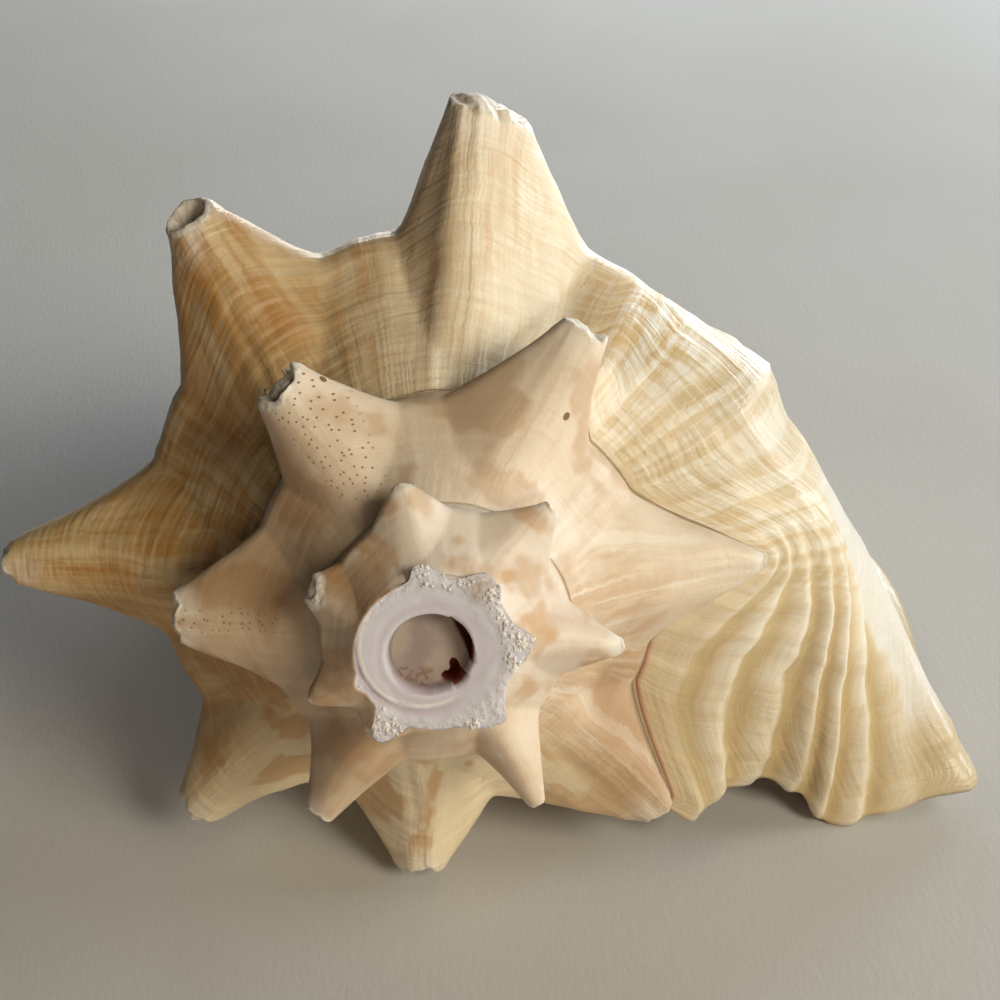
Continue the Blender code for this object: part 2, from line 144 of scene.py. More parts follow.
class Trait(Enum):
    """Values carried by every point of the skin, for the relief and the colours."""

    TURN = "turn"
    PLACE = "place"
    ALONG = "along"
    ACROSS = "across"
    WING = "wing"
    HORN = "horn"
    CHIP = "chip"
    GLAZE = "glaze"
    BROKEN = "broken"
    HOLLOW = "hollow"
    DOTS = "dots"
    FOLD = "fold"
    STREAK = "streak"
    SPIRAL = "spiral"


def ease(value: np.ndarray) -> np.ndarray:
    """Smooth step from 0 to 1."""
    value = np.clip(value, 0.0, 1.0)
    return value * value * (3.0 - 2.0 * value)


def outward(angle: np.ndarray) -> np.ndarray:
    """Direction away from the axis at a growth angle in degrees."""
    turn = np.radians(np.asarray(angle, dtype=float))
    return np.stack([np.cos(turn), np.sin(turn), np.zeros_like(turn)], axis=-1)


@dataclass(frozen=True)
class Growth:
    """The rule that the shell grows by: a spiral of the shoulder and a profile across it.

    Lengths are in millimetres and growth angles in degrees; the rest are shares, ratios and powers.
    """

    radius: float = 73.6
    per_turn: float = 1.711
    slope: float = 1.20
    first: float = 1248.0
    last: float = -47.0
    wing: float = 63.0
    apex_level: float = -6.0
    suture_drop: float = 0.12
    suture_inset: float = 0.985
    ramp_share: float = 0.86
    ramp_sag: float = 0.035
    ramp_length: float = 0.60
    curve_start: float = 0.70
    edge: float = 0.85
    shift_fade: float = 1.2
    shift_spread: float = 7.0
    shift_reach: float = 0.35
    tip_level: float = -222.0
    tip_radius: float = 7.0
    tip_gap: float = 5.0
    tip_rise: float = 4.6
    tip_round: float = 3.0
    taper: float = 0.75
    flare_power: float = 2.5
    swell: float = 13.0
    swell_heading: tuple[float, float] = (0.6, 0.8)
    thickness: float = 3.2
    thin_place: float = 0.3
    callus: float = 0.4
    horn_power: float = 1.4
    uphill: float = 0.50
    downhill: float = 0.42
    blend: float = 5.0
    hold_start: float = -8.0
    hold_fade: float = 6.0
    gather: float = 0.7
    end_round: float = 1.0
    end_rim: float = 1.2
    end_reach: float = 6.0
    end_fade: float = 3.0
    pit_share: float = 0.85
    pit_wall: float = 1.6
    pit_fade: float = 0.6
    sleek_start: float = -0.9
    sleek_fade: float = 1.2
    chip_start: float = 0.7
    chip_fade: float = 0.9
    inner_step: tuple[float, float] = (1.5, 0.012)

    def radius_at(self, angle: np.ndarray) -> np.ndarray:
        """Shoulder radius at a growth angle."""
        return self.radius * self.per_turn ** (-np.asarray(angle, dtype=float) / 360.0)

    def along_at(self, angle: np.ndarray) -> np.ndarray:
        """Length of the shoulder from the apex to a growth angle."""
        return self.radius_at(angle) * 2.0 * math.pi / math.log(self.per_turn)

    def suture_at(self, angle: np.ndarray) -> np.ndarray:
        """Radius and height of the line where the next whorl joins this one.

        Args:
            angle: Growth angles in degrees.

        Returns:
            Radius and height at each angle.
        """
        radius = self.radius_at(angle)
        drop = -(self.slope + self.suture_drop) * radius
        return np.stack([self.suture_inset * radius, drop], axis=-1)

    def ramp_at(self, angle: np.ndarray, share: np.ndarray) -> np.ndarray:
        """Radius and height on the hollowed ramp.

        Args:
            angle: Growth angles in degrees.
            share: Shares of the way from the upper suture to the shoulder corner.

        Returns:
            Radius and height of each point.
        """
        radius = self.radius_at(angle)
        upper = self.suture_at(angle + 360.0)
        corner = np.stack([radius, -self.slope * radius], axis=-1)
        share = np.asarray(share)[..., None]
        point = upper + (corner - upper) * share
        sag = self.ramp_sag * radius[..., None] * 4.0 * share * (1.0 - share)
        return point - sag * np.array([0.0, 1.0])

    def profile(self, angle: np.ndarray, place: np.ndarray) -> np.ndarray:
        """Radius and height on the plain whorl.

        Args:
            angle: Growth angles in degrees.
            place: Profile places, 0 at the upper suture, 1 at the lower one, 2 at the tip.

        Returns:
            Radius and height of each point.
        """
        angle, place = np.broadcast_arrays(np.asarray(angle, float), np.asarray(place, float))
        radius = self.radius_at(angle)
        lower = self.suture_at(angle)
        corner = np.stack([radius, -self.slope * radius], axis=-1)
        start = self.ramp_at(angle, np.full_like(angle, self.ramp_share))
        ramp = self.ramp_at(angle, np.clip(place / self.curve_start, 0.0, 1.0) * self.ramp_share)
        turn = np.clip((place - self.curve_start) / (1.0 - self.curve_start), 0.0, 1.0)[..., None]
        bend = (1.0 - turn) ** 2 * start + 2.0 * turn * (1.0 - turn) * corner + turn ** 2 * lower
        down = np.clip(place - 1.0, 0.0, 1.0)
        tip = self.tip_radius + self.tip_gap * (self.last + 360.0 - angle) / 360.0
        narrow = self.taper * down + (1.0 - self.taper) * down ** 2
        end = np.stack([tip, np.full_like(tip, self.tip_level)], axis=-1)
        body = lower + (end - lower) * np.stack([narrow, down], axis=-1)
        place = place[..., None]
        return np.where(place <= self.curve_start, ramp, np.where(place <= 1.0, bend, body))

    def to_space(self, angle: np.ndarray, profile: np.ndarray, place: np.ndarray) -> np.ndarray:
        """Turn profile points about the axis; the siphonal end rises a little.

        Args:
            angle: Growth angles in degrees.
            profile: Radius and height of each point.
            place: Profile places.

        Returns:
            The points.
        """
        point = outward(angle) * profile[..., :1]
        rise = self.tip_rise * np.maximum(place - 1.0, 0.0) ** 1.5
        point[..., 1] += rise
        point[..., 2] += profile[..., 1]
        return point

    def spread(self, horn: Horn, angle: np.ndarray, place: np.ndarray,
               on_body: np.ndarray) -> np.ndarray:
        """Distance from the middle of a horn, as a share of the width of its base.

        Args:
            horn: The horn.
            angle: Growth angles in degrees.
            place: Profile places.
            on_body: Whether each point lies on the last whorl, where the horn's foot runs down.

        Returns:
            The distance of each point; the horn ends at 1.
        """
        radius = float(self.radius_at(horn.angle))
        along = np.radians(angle - horn.angle) * radius
        lopsided = (horn.high - horn.low) / 2.0 * np.tanh(along / self.blend)
        width = (horn.high + horn.low) / 2.0 + lopsided
        hold = ease((along - self.hold_start) / self.hold_fade)
        hold = horn.hold_low + (horn.hold_high - horn.hold_low) * hold
        uphill = (self.edge - place) / self.edge * self.ramp_length / self.uphill
        wall = (np.minimum(place, 1.0) - self.edge) / (1.0 - self.edge) * (1.0 - hold)
        length = -self.tip_level - (self.slope + self.suture_drop) * radius
        drop = wall * self.suture_drop * radius + np.maximum(place - 1.0, 0.0) * length
        foot = np.where(on_body, drop / (self.downhill * radius), wall)
        return np.hypot(along / width, np.where(place < self.edge, uphill, foot))

    def broken_end(self, horn: Horn, first: np.ndarray,
                   second: np.ndarray) -> tuple[np.ndarray, np.ndarray]:
        """Shape of a horn's broken end.

        Args:
            horn: The horn.
            first: Distances from its middle line along the growth.
            second: Distances from its middle line across the growth.

        Returns:
            How far the smooth break stands past a flat one, and its roughness on top of that.
        """
        rim = self.end_rim
        bend = horn.slant * np.clip(first / horn.tip, -rim, rim)
        bend = (bend - horn.tilt * np.clip(second / horn.tip, -rim, rim)) * horn.tip
        round_off = np.minimum((first ** 2 + second ** 2) / horn.tip ** 2, rim ** 2)
        waves = (0.7 * np.sin(0.9 * first + horn.angle) + 0.6 * np.sin(0.8 * second + first)
                 + 0.3 * np.sin(2.3 * first + 1.4 * second + 2.0))
        return bend - horn.dome * round_off, horn.rough * waves

    def push(self, angle: np.ndarray, place: np.ndarray, points: np.ndarray,
             on_body: np.ndarray) -> tuple[np.ndarray, np.ndarray, np.ndarray]:
        """Move points outward where horns stand.

        Args:
            angle: Growth angles in degrees.
            place: Profile places.
            points: Points of the plain whorl.
            on_body: Whether each point lies on the last whorl.

        Returns:
            The moved points, the nearness to a horn's tip and the depth in a broken end.
        """
        near = np.zeros(points.shape[:-1])
        chip = np.zeros(points.shape[:-1])
        for horn in HORNS:
            spread = self.spread(horn, angle, place, on_body)
            inside = spread < 1.0
            if not inside.any():
                continue
            out = outward(horn.angle)
            side = np.array([-out[1], out[0], 0.0])
            heading = (out + side * horn.lean) * horn.reach + np.array([0.0, 0.0, horn.lift])
            length = float(np.linalg.norm(heading))
            heading = heading / length
            cut = 1.0 - 2.0 * horn.tip / (horn.low + horn.high)
            whole = length / cut ** self.horn_power
            root = self.to_space(horn.angle, self.profile(horn.angle, self.edge), self.edge)
            share = np.where(inside, 1.0 - spread, 0.0)
            points = points + heading * (whole * share ** self.horn_power)[..., None]
            offset = points - root
            forward = offset @ heading
            lateral = offset - forward[..., None] * heading
            first = lateral @ side
            second = lateral @ np.cross(heading, side)
            bend, waves = self.broken_end(horn, first, second)
            ahead = forward - (length + waves + bend)
            over = (ahead + np.hypot(ahead, self.end_round)) / 2.0
            over = over * ease((ahead + self.end_reach) / self.end_fade)
            middle = np.clip(1.0 - (np.hypot(first, second) / (self.pit_share * horn.tip)) ** 2, 0.0, 1.0)
            pit = horn.pit * ease((ahead + self.pit_fade) / self.pit_fade) * ease(middle * self.pit_wall)
            sunk = np.where(inside, over + pit, 0.0)
            points = points - heading * sunk[..., None]
            near = np.maximum(near, np.clip(share / max(cut, 0.05), 0.0, 1.0))
            bare = 1.0 - horn.sleek * ease((self.sleek_start - bend) / self.sleek_fade)
            broken = ease((ahead + self.chip_start) / self.chip_fade) * (horn.rough > 0.0)
            chip = np.maximum(chip, broken * inside * bare)
        return points, near, chip

    def streak(self, angle: np.ndarray, place: np.ndarray) -> np.ndarray:
        """Length from the apex, with the lines of growth drawn together toward the horn tips.

        Args:
            angle: Growth angles in degrees, as a column.
            place: Profile places, as a row.

        Returns:
            The length at each point.
        """
        angle, place = np.broadcast_arrays(np.asarray(angle, float), np.asarray(place, float))
        length = self.along_at(angle)
        for horn in HORNS:
            spread = self.spread(horn, angle, place, angle <= self.last + 360.0)
            aside = np.radians(angle - horn.angle) * float(self.radius_at(horn.angle))
            share = np.clip(1.0 - spread, 0.0, 1.0)
            length = length - aside * (1.0 / (1.0 - self.gather * share) - 1.0)
        return length

    def suture_shift(self, angle: np.ndarray) -> np.ndarray:
        """How far the horns of the whorl before carry the suture from its plain line.

        Args:
            angle: Growth angles in degrees, in one row.

        Returns:
            The shift at each angle.
        """
        ones = np.ones_like(angle)
        plain = self.to_space(angle + 360.0, self.suture_at(angle + 360.0), ones)
        return self.push(angle + 360.0, ones, plain, np.zeros_like(angle, bool))[0] - plain

    def ramp_shift(self, angle: np.ndarray) -> np.ndarray:
        """The same shift as the ramp further out feels it, evened out along the growth."""
        steps = (-2.0, -1.0, 0.0, 1.0, 2.0)
        return np.mean([self.suture_shift(angle + self.shift_spread * s) for s in steps], axis=0)

    def whorl(self, angle: np.ndarray, place: np.ndarray,
              horned: bool = True) -> tuple[np.ndarray, np.ndarray, np.ndarray]:
        """Points of the outer face before the lip flares.

        Args:
            angle: Growth angles in degrees, as a column.
            place: Profile places, as a row.
            horned: Whether the horns are raised.

        Returns:
            The points, the nearness to a horn's tip and the depth in a broken end.
        """
        angle, place = np.broadcast_arrays(np.asarray(angle, float), np.asarray(place, float))
        points = self.to_space(angle, self.profile(angle, place), place)
        line = angle[:, 0]
        near = ease(place / self.shift_reach)[..., None]
        shift = self.suture_shift(line)[:, None] * (1.0 - near)
        shift = shift + self.ramp_shift(line)[:, None] * near
        fade = np.clip(1.0 - place / self.edge, 0.0, 1.0) ** self.shift_fade
        points = points + shift * fade[..., None]
        if not horned:
            return points, np.zeros_like(angle), np.zeros_like(angle)
        return self.push(angle, place, points, angle <= self.last + 360.0)

    def margin(self, place: np.ndarray) -> np.ndarray:
        """Smooth curve through the knots of the lip margin.

        Args:
            place: Profile places, in one row.

        Returns:
            The point of the margin at each place.
        """
        ends = self.whorl(np.array([[self.last]]), np.array([[0.0, 2.0]]))[0][0]
        knots = np.array([(0.0, *ends[0]), *MARGIN, (2.0, *ends[1])])
        where = knots[:, 0]
        index = np.clip(np.searchsorted(where, place, side="right") - 1, 0, len(knots) - 2)
        before = np.maximum(index - 1, 0)
        after = np.minimum(index + 2, len(knots) - 1)
        span = (where[index + 1] - where[index])[:, None]
        share = np.clip((place - where[index])[:, None] / span, 0.0, 1.0)
        start = knots[index, 1:]
        stop = knots[index + 1, 1:]
        leave = (stop - knots[before, 1:]) / (where[index + 1] - where[before])[:, None] * span
        arrive = (knots[after, 1:] - start) / (where[after] - where[index])[:, None] * span
        cube = share ** 3
        square = share ** 2
        point = (2.0 * cube - 3.0 * square + 1.0) * start + (cube - 2.0 * square + share) * leave
        return point + (3.0 * square - 2.0 * cube) * stop + (cube - square) * arrive

    def skin(self, angle: np.ndarray, place: np.ndarray,
             horned: bool = True) -> tuple[np.ndarray, np.ndarray, np.ndarray]:
        """Points of the outer face with the flare and the swell of the lip.

        Args:
            angle: Growth angles in degrees, as a column.
            place: Profile places, as a row.
            horned: Whether the horns are raised.

        Returns:
            The points, the nearness to a horn's tip and the depth in a broken end.
        """
        points, near, chip = self.whorl(angle, place, horned)
        growth = np.clip((self.wing - angle) / (self.wing - self.last), 0.0, 2.0)
        end = self.whorl(np.array([[self.last]]), place, horned)[0][0]
        flare = self.margin(place[0]) - end
        points = points + flare[None] * (growth ** self.flare_power)[..., None]
        rise = np.where(place < self.edge, np.sin(math.pi * place / self.edge), 0.0)
        swell = self.swell * rise * 4.0 * growth * np.maximum(1.0 - growth, 0.0)
        heading = outward(angle) * self.swell_heading[0]
        heading = heading + np.array([0.0, 0.0, self.swell_heading[1]])
        return points + heading * swell[..., None], near, chip

    def inner(self, angle: float, place: np.ndarray) -> np.ndarray:
        """Points of the glazed inner face, thinner toward the suture.

        Args:
            angle: Growth angle in degrees.
            place: Profile places, in one row.

        Returns:
            One point for each place.
        """
        here = np.array([[angle]])
        row = place[None]
        aside, along = self.inner_step
        ahead = self.skin(here + aside, row, False)[0]
        behind = self.skin(np.maximum(here - aside, self.last), row, False)[0]
        down = self.skin(here, np.minimum(row + along, 2.0), False)[0]
        up = self.skin(here, np.maximum(row - along, 0.0), False)[0]
        normal = np.cross(down - up, ahead - behind)[0]
        normal = normal / np.linalg.norm(normal, axis=-1, keepdims=True)
        thickness = self.thickness * (0.5 + 0.5 * ease(place / self.thin_place))
        return self.skin(here, row, False)[0][0] - normal * thickness[:, None]

    def parietal(self, angle: float, down: np.ndarray) -> np.ndarray:
        """Points of the glazed wall of the whorl before, inside the aperture.

        Args:
            angle: Growth angle in degrees.
            down: Shares of the way down the body, in one row.

        Returns:
            One point for each share.
        """
        here = np.full((1, len(down)), angle)
        place = 1.0 + down[None]
        points = self.to_space(here, self.profile(here, place), place)
        points = self.push(here, place, points, np.ones_like(here, bool))[0]
        return (points + outward(here) * self.callus)[0]


@dataclass
class Skin:
    """Vertices, traits and faces of the shell while it is laid out."""

    points: list[np.ndarray] = field(default_factory=list)
    traits: dict[Trait, list[np.ndarray]] = field(default_factory=lambda: {t: [] for t in Trait})
    faces: list[Sequence[int]] = field(default_factory=list)
    count: int = 0

    def add(self, points: np.ndarray, **values: Any) -> np.ndarray:
        """Add points.

        Args:
            points: Positions, in one or more rows.
            values: Traits by lower-case name, each one number or one per point.

        Returns:
            The vertex numbers, in the shape of the rows.
        """
        shape = points.shape[:-1]
        flat = points.reshape(-1, 3)
        self.points.append(flat)
        for trait in Trait:
            value = np.broadcast_to(np.asarray(values.get(trait.value, 0.0), float), shape)
            self.traits[trait].append(value.reshape(-1))
        numbers = np.arange(self.count, self.count + len(flat)).reshape(shape)
        self.count += len(flat)
        return numbers

    def weave(self, left: np.ndarray, right: np.ndarray) -> None:
        """Join two columns of equal length with four-sided faces."""
        quads = np.stack([left[:-1], left[1:], right[1:], right[:-1]], axis=1)
        for quad in quads.tolist():
            kept = [v for i, v in enumerate(quad) if v != quad[i - 1]]
            if len(kept) > 2:
                self.faces.append(kept)

    def stitch(self, left: np.ndarray, left_at: np.ndarray, right: np.ndarray,
               right_at: np.ndarray) -> None:
        """Join two columns that may differ in their number of rows.

        Args:
            left: Vertex numbers of the first column.
            left_at: Rising places of its vertices.
            right: Vertex numbers of the second column.
            right_at: Rising places of its vertices.
        """
        i = 0
        j = 0
        while i < len(left) - 1 or j < len(right) - 1:
            both = i < len(left) - 1 and j < len(right) - 1
            if both and abs(left_at[i + 1] - right_at[j + 1]) < 1e-6:
                corners = [left[i], left[i + 1], right[j + 1], right[j]]
                i += 1
                j += 1
            elif j >= len(right) - 1 or (both and left_at[i + 1] < right_at[j + 1]):
                corners = [left[i], left[i + 1], right[j]]
                i += 1
            else:
                corners = [left[i], right[j + 1], right[j]]
                j += 1
            kept = [int(v) for k, v in enumerate(corners) if v != corners[k - 1]]
            if len(kept) > 2:
                self.faces.append(kept)

    def fan(self, ring: np.ndarray, centre: int) -> None:
        """Close a row of vertices toward one point."""
        for first, second in zip(ring.tolist(), ring.tolist()[1:]):
            if first != second:
                self.faces.append([first, second, centre])

    def position(self, numbers: np.ndarray) -> np.ndarray:
        """Positions of vertices by number."""
        return np.concatenate(self.points)[numbers]

    def value(self, trait: Trait, numbers: np.ndarray) -> np.ndarray:
        """Values of a trait by vertex number."""
        return np.concatenate(self.traits[trait])[numbers]

    def to_mesh(self, name: str) -> bpy.types.Mesh:
        """Make a mesh with one float attribute for each trait.

        Args:
            name: Name of the mesh.

        Returns:
            The mesh.
        """
        mesh = bpy.data.meshes.new(name)
        mesh.from_pydata(np.concatenate(self.points).tolist(), [], self.faces)
        for trait in Trait:
            layer = mesh.attributes.new(trait.value, "FLOAT", "POINT")
            layer.data.foreach_set("value", np.concatenate(self.traits[trait]))
        return mesh


@dataclass(frozen=True)
class Signal:
    """An output of a node that can be used in arithmetic."""

    graph: "Graph"
    socket: bpy.types.NodeSocket

    def __add__(self, other: Any) -> "Signal":
        """Sum."""
        return self.graph.math("ADD", self, other)

    def __radd__(self, other: Any) -> "Signal":
        """Sum with the number first."""
        return self.graph.math("ADD", other, self)

    def __sub__(self, other: Any) -> "Signal":
        """Difference."""
        return self.graph.math("SUBTRACT", self, other)

    def __rsub__(self, other: Any) -> "Signal":
        """Difference with the number first."""
        return self.graph.math("SUBTRACT", other, self)

    def __mul__(self, other: Any) -> "Signal":
        """Product."""
        return self.graph.math("MULTIPLY", self, other)

    def __rmul__(self, other: Any) -> "Signal":
        """Product with the number first."""
        return self.graph.math("MULTIPLY", other, self)

    def __truediv__(self, other: Any) -> "Signal":
        """Quotient."""
        return self.graph.math("DIVIDE", self, other)

    def fraction(self) -> "Signal":
        """Part after the decimal point."""
        return self.graph.math("FRACT", self)

    def least(self, other: Any) -> "Signal":
        """Smaller of two values."""
        return self.graph.math("MINIMUM", self, other)

    def most(self, other: Any) -> "Signal":
        """Larger of two values."""
        return self.graph.math("MAXIMUM", self, other)

    def ramp(self, low: Any, high: Any) -> "Signal":
        """Smooth step that is 0 at low and 1 at high."""
        sockets = {"Value": self, "From Min": low, "From Max": high}
        return self.graph.add("ShaderNodeMapRange", {"interpolation_type": "SMOOTHSTEP"}, sockets)

    def window(self, rise: Number, top: Number, end: Number, gone: Number) -> "Signal":
        """Smooth step up from rise to top and down again from end to gone."""
        return self.ramp(rise, top) * (1.0 - self.ramp(end, gone))

    def sibling(self, key: Union[int, str]) -> "Signal":
        """Another output of the same node."""
        return Signal(self.graph, self.graph.pick(self.socket.node.outputs, key))


class Graph:
    """A node tree under construction."""

    def __init__(self, tree: bpy.types.NodeTree) -> None:
        """Start with nothing read from the piece.

        Args:
            tree: The tree to build.
        """
        self.tree = tree
        self.shader = tree.bl_idname == "ShaderNodeTree"
        self.known: dict[Any, Any] = {}

    def add(self, kind: str, settings: dict[str, Any] | None = None,
            sockets: dict[Any, Any] | None = None, key: Union[int, str] = 0) -> Signal | None:
        """Add a node.

        Args:
            kind: Type of the node.
            settings: Its own settings, set first.
            sockets: Values or signals of its inputs, by name or number.
            key: The output that is wanted, by name or number.

        Returns:
            That output, or nothing for a node that has none.
        """
        node = self.tree.nodes.new(kind)
        for name, value in (settings or {}).items():
            setattr(node, name, value)
        for label, value in (sockets or {}).items():
            self.feed(self.pick(node.inputs, label), value)
        return Signal(self, self.pick(node.outputs, key)) if len(node.outputs) else None

    def pick(self, sockets: Sequence, key: Union[int, str]) -> bpy.types.NodeSocket:
        """Socket by number, or the one in use by name.

        Args:
            sockets: The inputs or the outputs of a node.
            key: Number or name.

        Returns:
            The socket.
        """
        if isinstance(key, int):
            return sockets[key]
        return next(socket for socket in sockets if socket.name == key and socket.enabled)

    def feed(self, socket: bpy.types.NodeSocket, value: Any) -> None:
        """Give an input a signal or a value.

        Args:
            socket: The input.
            value: The signal or the value.
        """
        if isinstance(value, Signal):
            self.tree.links.new(value.socket, socket)
        else:
            socket.default_value = value

    def math(self, operation: str, *values: Any) -> Signal:
        """Math node of one operation on signals or numbers."""
        return self.add("ShaderNodeMath", {"operation": operation}, dict(enumerate(values)))

    def trait(self, trait: Trait) -> Signal:
        """Value of a trait carried by the skin.

        Args:
            trait: The trait.

        Returns:
            The value, from the same node each time.
        """
        if trait not in self.known and self.shader:
            settings = {"attribute_name": trait.value, "attribute_type": "GEOMETRY"}
            self.known[trait] = self.add("ShaderNodeAttribute", settings, None, "Fac")
        elif trait not in self.known:
            self.known[trait] = self.add("GeometryNodeInputNamedAttribute", {"data_type": "FLOAT"},
                                         {"Name": trait.value}, "Attribute")
        return self.known[trait]

    def traits(self, *traits: Trait) -> list[Signal]:
        """Values of several traits."""
        return [self.trait(trait) for trait in traits]

    def here(self) -> Signal:
        """Position on the piece, which lies at the origin, so it is the object coordinates too.

        Returns:
            The position, from the same node each time.
        """
        if "here" not in self.known and self.shader:
            self.known["here"] = self.add("ShaderNodeTexCoord", key="Object")
        elif "here" not in self.known:
            self.known["here"] = self.add("GeometryNodeInputPosition")
        return self.known["here"]

    def noise(self, vector: Signal, scale: Number = 1.0, detail: Number = 2.0,
              rough: Number = 0.5) -> Signal:
        """Noise from 0 to 1 at a vector."""
        sockets = {"Vector": vector, "Scale": scale, "Detail": detail, "Roughness": rough}
        return self.add("ShaderNodeTexNoise", None, sockets)

    def cloud(self, scale: Number, detail: Number = 2.0, rough: Number = 0.5) -> Signal:
        """Noise from 0 to 1 over the position."""
        return self.noise(self.here(), scale, detail, rough)

    def grain(self, x: Any, y: Any, z: Any = 0.0, detail: Number = 2.0, rough: Number = 0.5) -> Signal:
        """Noise from 0 to 1 over two lengths, each shared by the size of its marks."""
        return self.noise(self.add("ShaderNodeCombineXYZ", None, {0: x, 1: y, 2: z}), 1.0, detail, rough)

    def growth_lines(self) -> tuple[Signal, Signal]:
        """Lengths along and across the growth, which waver as the lines of a real shell do.

        Returns:
            The length along and the length across, from the same nodes each time.
        """
        if "lines" not in self.known:
            along, across = self.traits(Trait.STREAK, Trait.ACROSS)
            jag = (self.grain(along / 6.0, across / 1.5, 9.0) - 0.5) * 1.5
            sway = (self.cloud(62.0) - 0.5) * 5.0
            drift = (self.cloud(41.0, 1.0) - 0.5) * 7.0
            self.known["lines"] = along + jag + sway, across + drift
        return self.known["lines"]

    def mix(self, factor: Any, first: Any, second: Any, blend: str = "MIX") -> Signal:
        """Mix of two colours.

        Args:
            factor: Share of the second colour.
            first: A colour or a signal.
            second: A colour or a signal.
            blend: How the second one is laid over the first.

        Returns:
            The mixed colour.
        """
        first, second = [(*paint, 1.0) if isinstance(paint, tuple) else paint for paint in (first, second)]
        settings = {"data_type": "RGBA", "blend_type": blend}
        return self.add("ShaderNodeMix", settings, {0: factor, 6: first, 7: second}, 2)

    def coats(self, ground: Any, *coats: tuple) -> Signal:
        """Lay coats of colour over a ground.

        Args:
            ground: Colour or signal of the ground.
            coats: Factor, colour and, where it isn't a plain mix, the blend of each coat.

        Returns:
            The colour.
        """
        for factor, *paint in coats:
            ground = self.mix(factor, ground, *paint)
        return ground

    def bump(self, height: Signal) -> Signal:
        """Normal of a surface with a height in millimetres."""
        return self.add("ShaderNodeBump", None, {"Height": height, "Distance": METRES})


def make_material(name: str, inputs: Callable[[Graph], dict[str, Any]]) -> bpy.types.Material:
    """Make a material with one shader.

    Args:
        name: Name of the material.
        inputs: Gives the values or signals of the shader's inputs by name, for a graph.

    Returns:
        The material.
    """
    material = bpy.data.materials.new(name)
    material.use_nodes = True
    graph = Graph(material.node_tree)
    surface = material.node_tree.nodes["Principled BSDF"]
    for label, value in inputs(graph).items():
        graph.feed(surface.inputs[label], value)
    return material


def new_tree(name: str, inputs: dict[str, str]) -> tuple[Graph, dict[str, Signal], dict[str, str]]:
    """Start a Geometry Nodes tree.

    Args:
        name: Name of the tree.
        inputs: Socket type of each input after the geometry, by name.

    Returns:
        The graph, its inputs as signals by name, and their identifiers by name.
    """
    tree = bpy.data.node_groups.new(name, "GeometryNodeTree")
    for way in ("OUTPUT", "INPUT"):
        tree.interface.new_socket("Geometry", in_out=way, socket_type="NodeSocketGeometry")
    names = {label: tree.interface.new_socket(label, in_out="INPUT", socket_type=kind).identifier
             for label, kind in inputs.items()}
    graph = Graph(tree)
    entry = graph.add("NodeGroupInput")
    return graph, {label: entry.sibling(label) for label in ("Geometry", *names)}, names


def end_tree(graph: Graph, geometry: Signal, material: Signal) -> None:
    """End a Geometry Nodes tree in real geometry with its material.

    Args:
        graph: The graph of the tree.
        geometry: What it has made.
        material: What that is made of.
    """
    real = graph.add("GeometryNodeRealizeInstances", None, {"Geometry": geometry})
    dressed = graph.add("GeometryNodeSetMaterial", None, {"Geometry": real, "Material": material})
    graph.add("NodeGroupOutput", None, {0: dressed})


def run_tree(thing: bpy.types.Object, graph: Graph, names: dict[str, str],
             values: dict[str, Any]) -> None:
    """Run a Geometry Nodes tree on an object and keep its result as a plain mesh.

    Args:
        thing: The object.
        graph: The graph of the tree.
        names: Identifiers of the inputs by name.
        values: Values of the inputs by name.
    """
    modifier = thing.modifiers.new(graph.tree.name, "NODES")
    modifier.node_group = graph.tree
    for label, value in values.items():
        modifier[names[label]] = value
    bpy.context.view_layer.update()
    evaluated = thing.evaluated_get(bpy.context.evaluated_depsgraph_get())
    mesh = bpy.data.meshes.new_from_object(evaluated)
    old = thing.data
    thing.modifiers.clear()
    thing.data = mesh
    bpy.data.meshes.remove(old)
    mesh.name = thing.name


def add_object(name: str, mesh: bpy.types.Mesh) -> bpy.types.Object:
    """Put a mesh in the scene as an object at the origin.

    Args:
        name: Name of the object.
        mesh: Its mesh.

    Returns:
        The object.
    """
    thing = bpy.data.objects.new(name, mesh)
    bpy.context.scene.collection.objects.link(thing)
    return thing


def bare_layer(graph: Graph) -> Signal:
    """Where the outer layer of the lip has gone and the smooth pale one beneath shows.

    Args:
        graph: The graph that asks.

    Returns:
        How far the layer has gone, 0 to 1.
    """
    place, wing = graph.traits(Trait.PLACE, Trait.WING)
    edge = place + (graph.cloud(90.0) - 0.5) * 0.10
    start = 0.57 + 0.15 * wing.ramp(0.56, 0.8)
    near_shoulder = 1.0 - edge.ramp(0.97, 1.06)
    flange = (edge - start).ramp(0.0, 0.04) * near_shoulder * wing.window(0.42, 0.5, 0.82, 0.9)
    return flange.most(edge.ramp(0.83, 0.86) * near_shoulder * wing.window(0.0, 0.03, 0.2, 0.26))


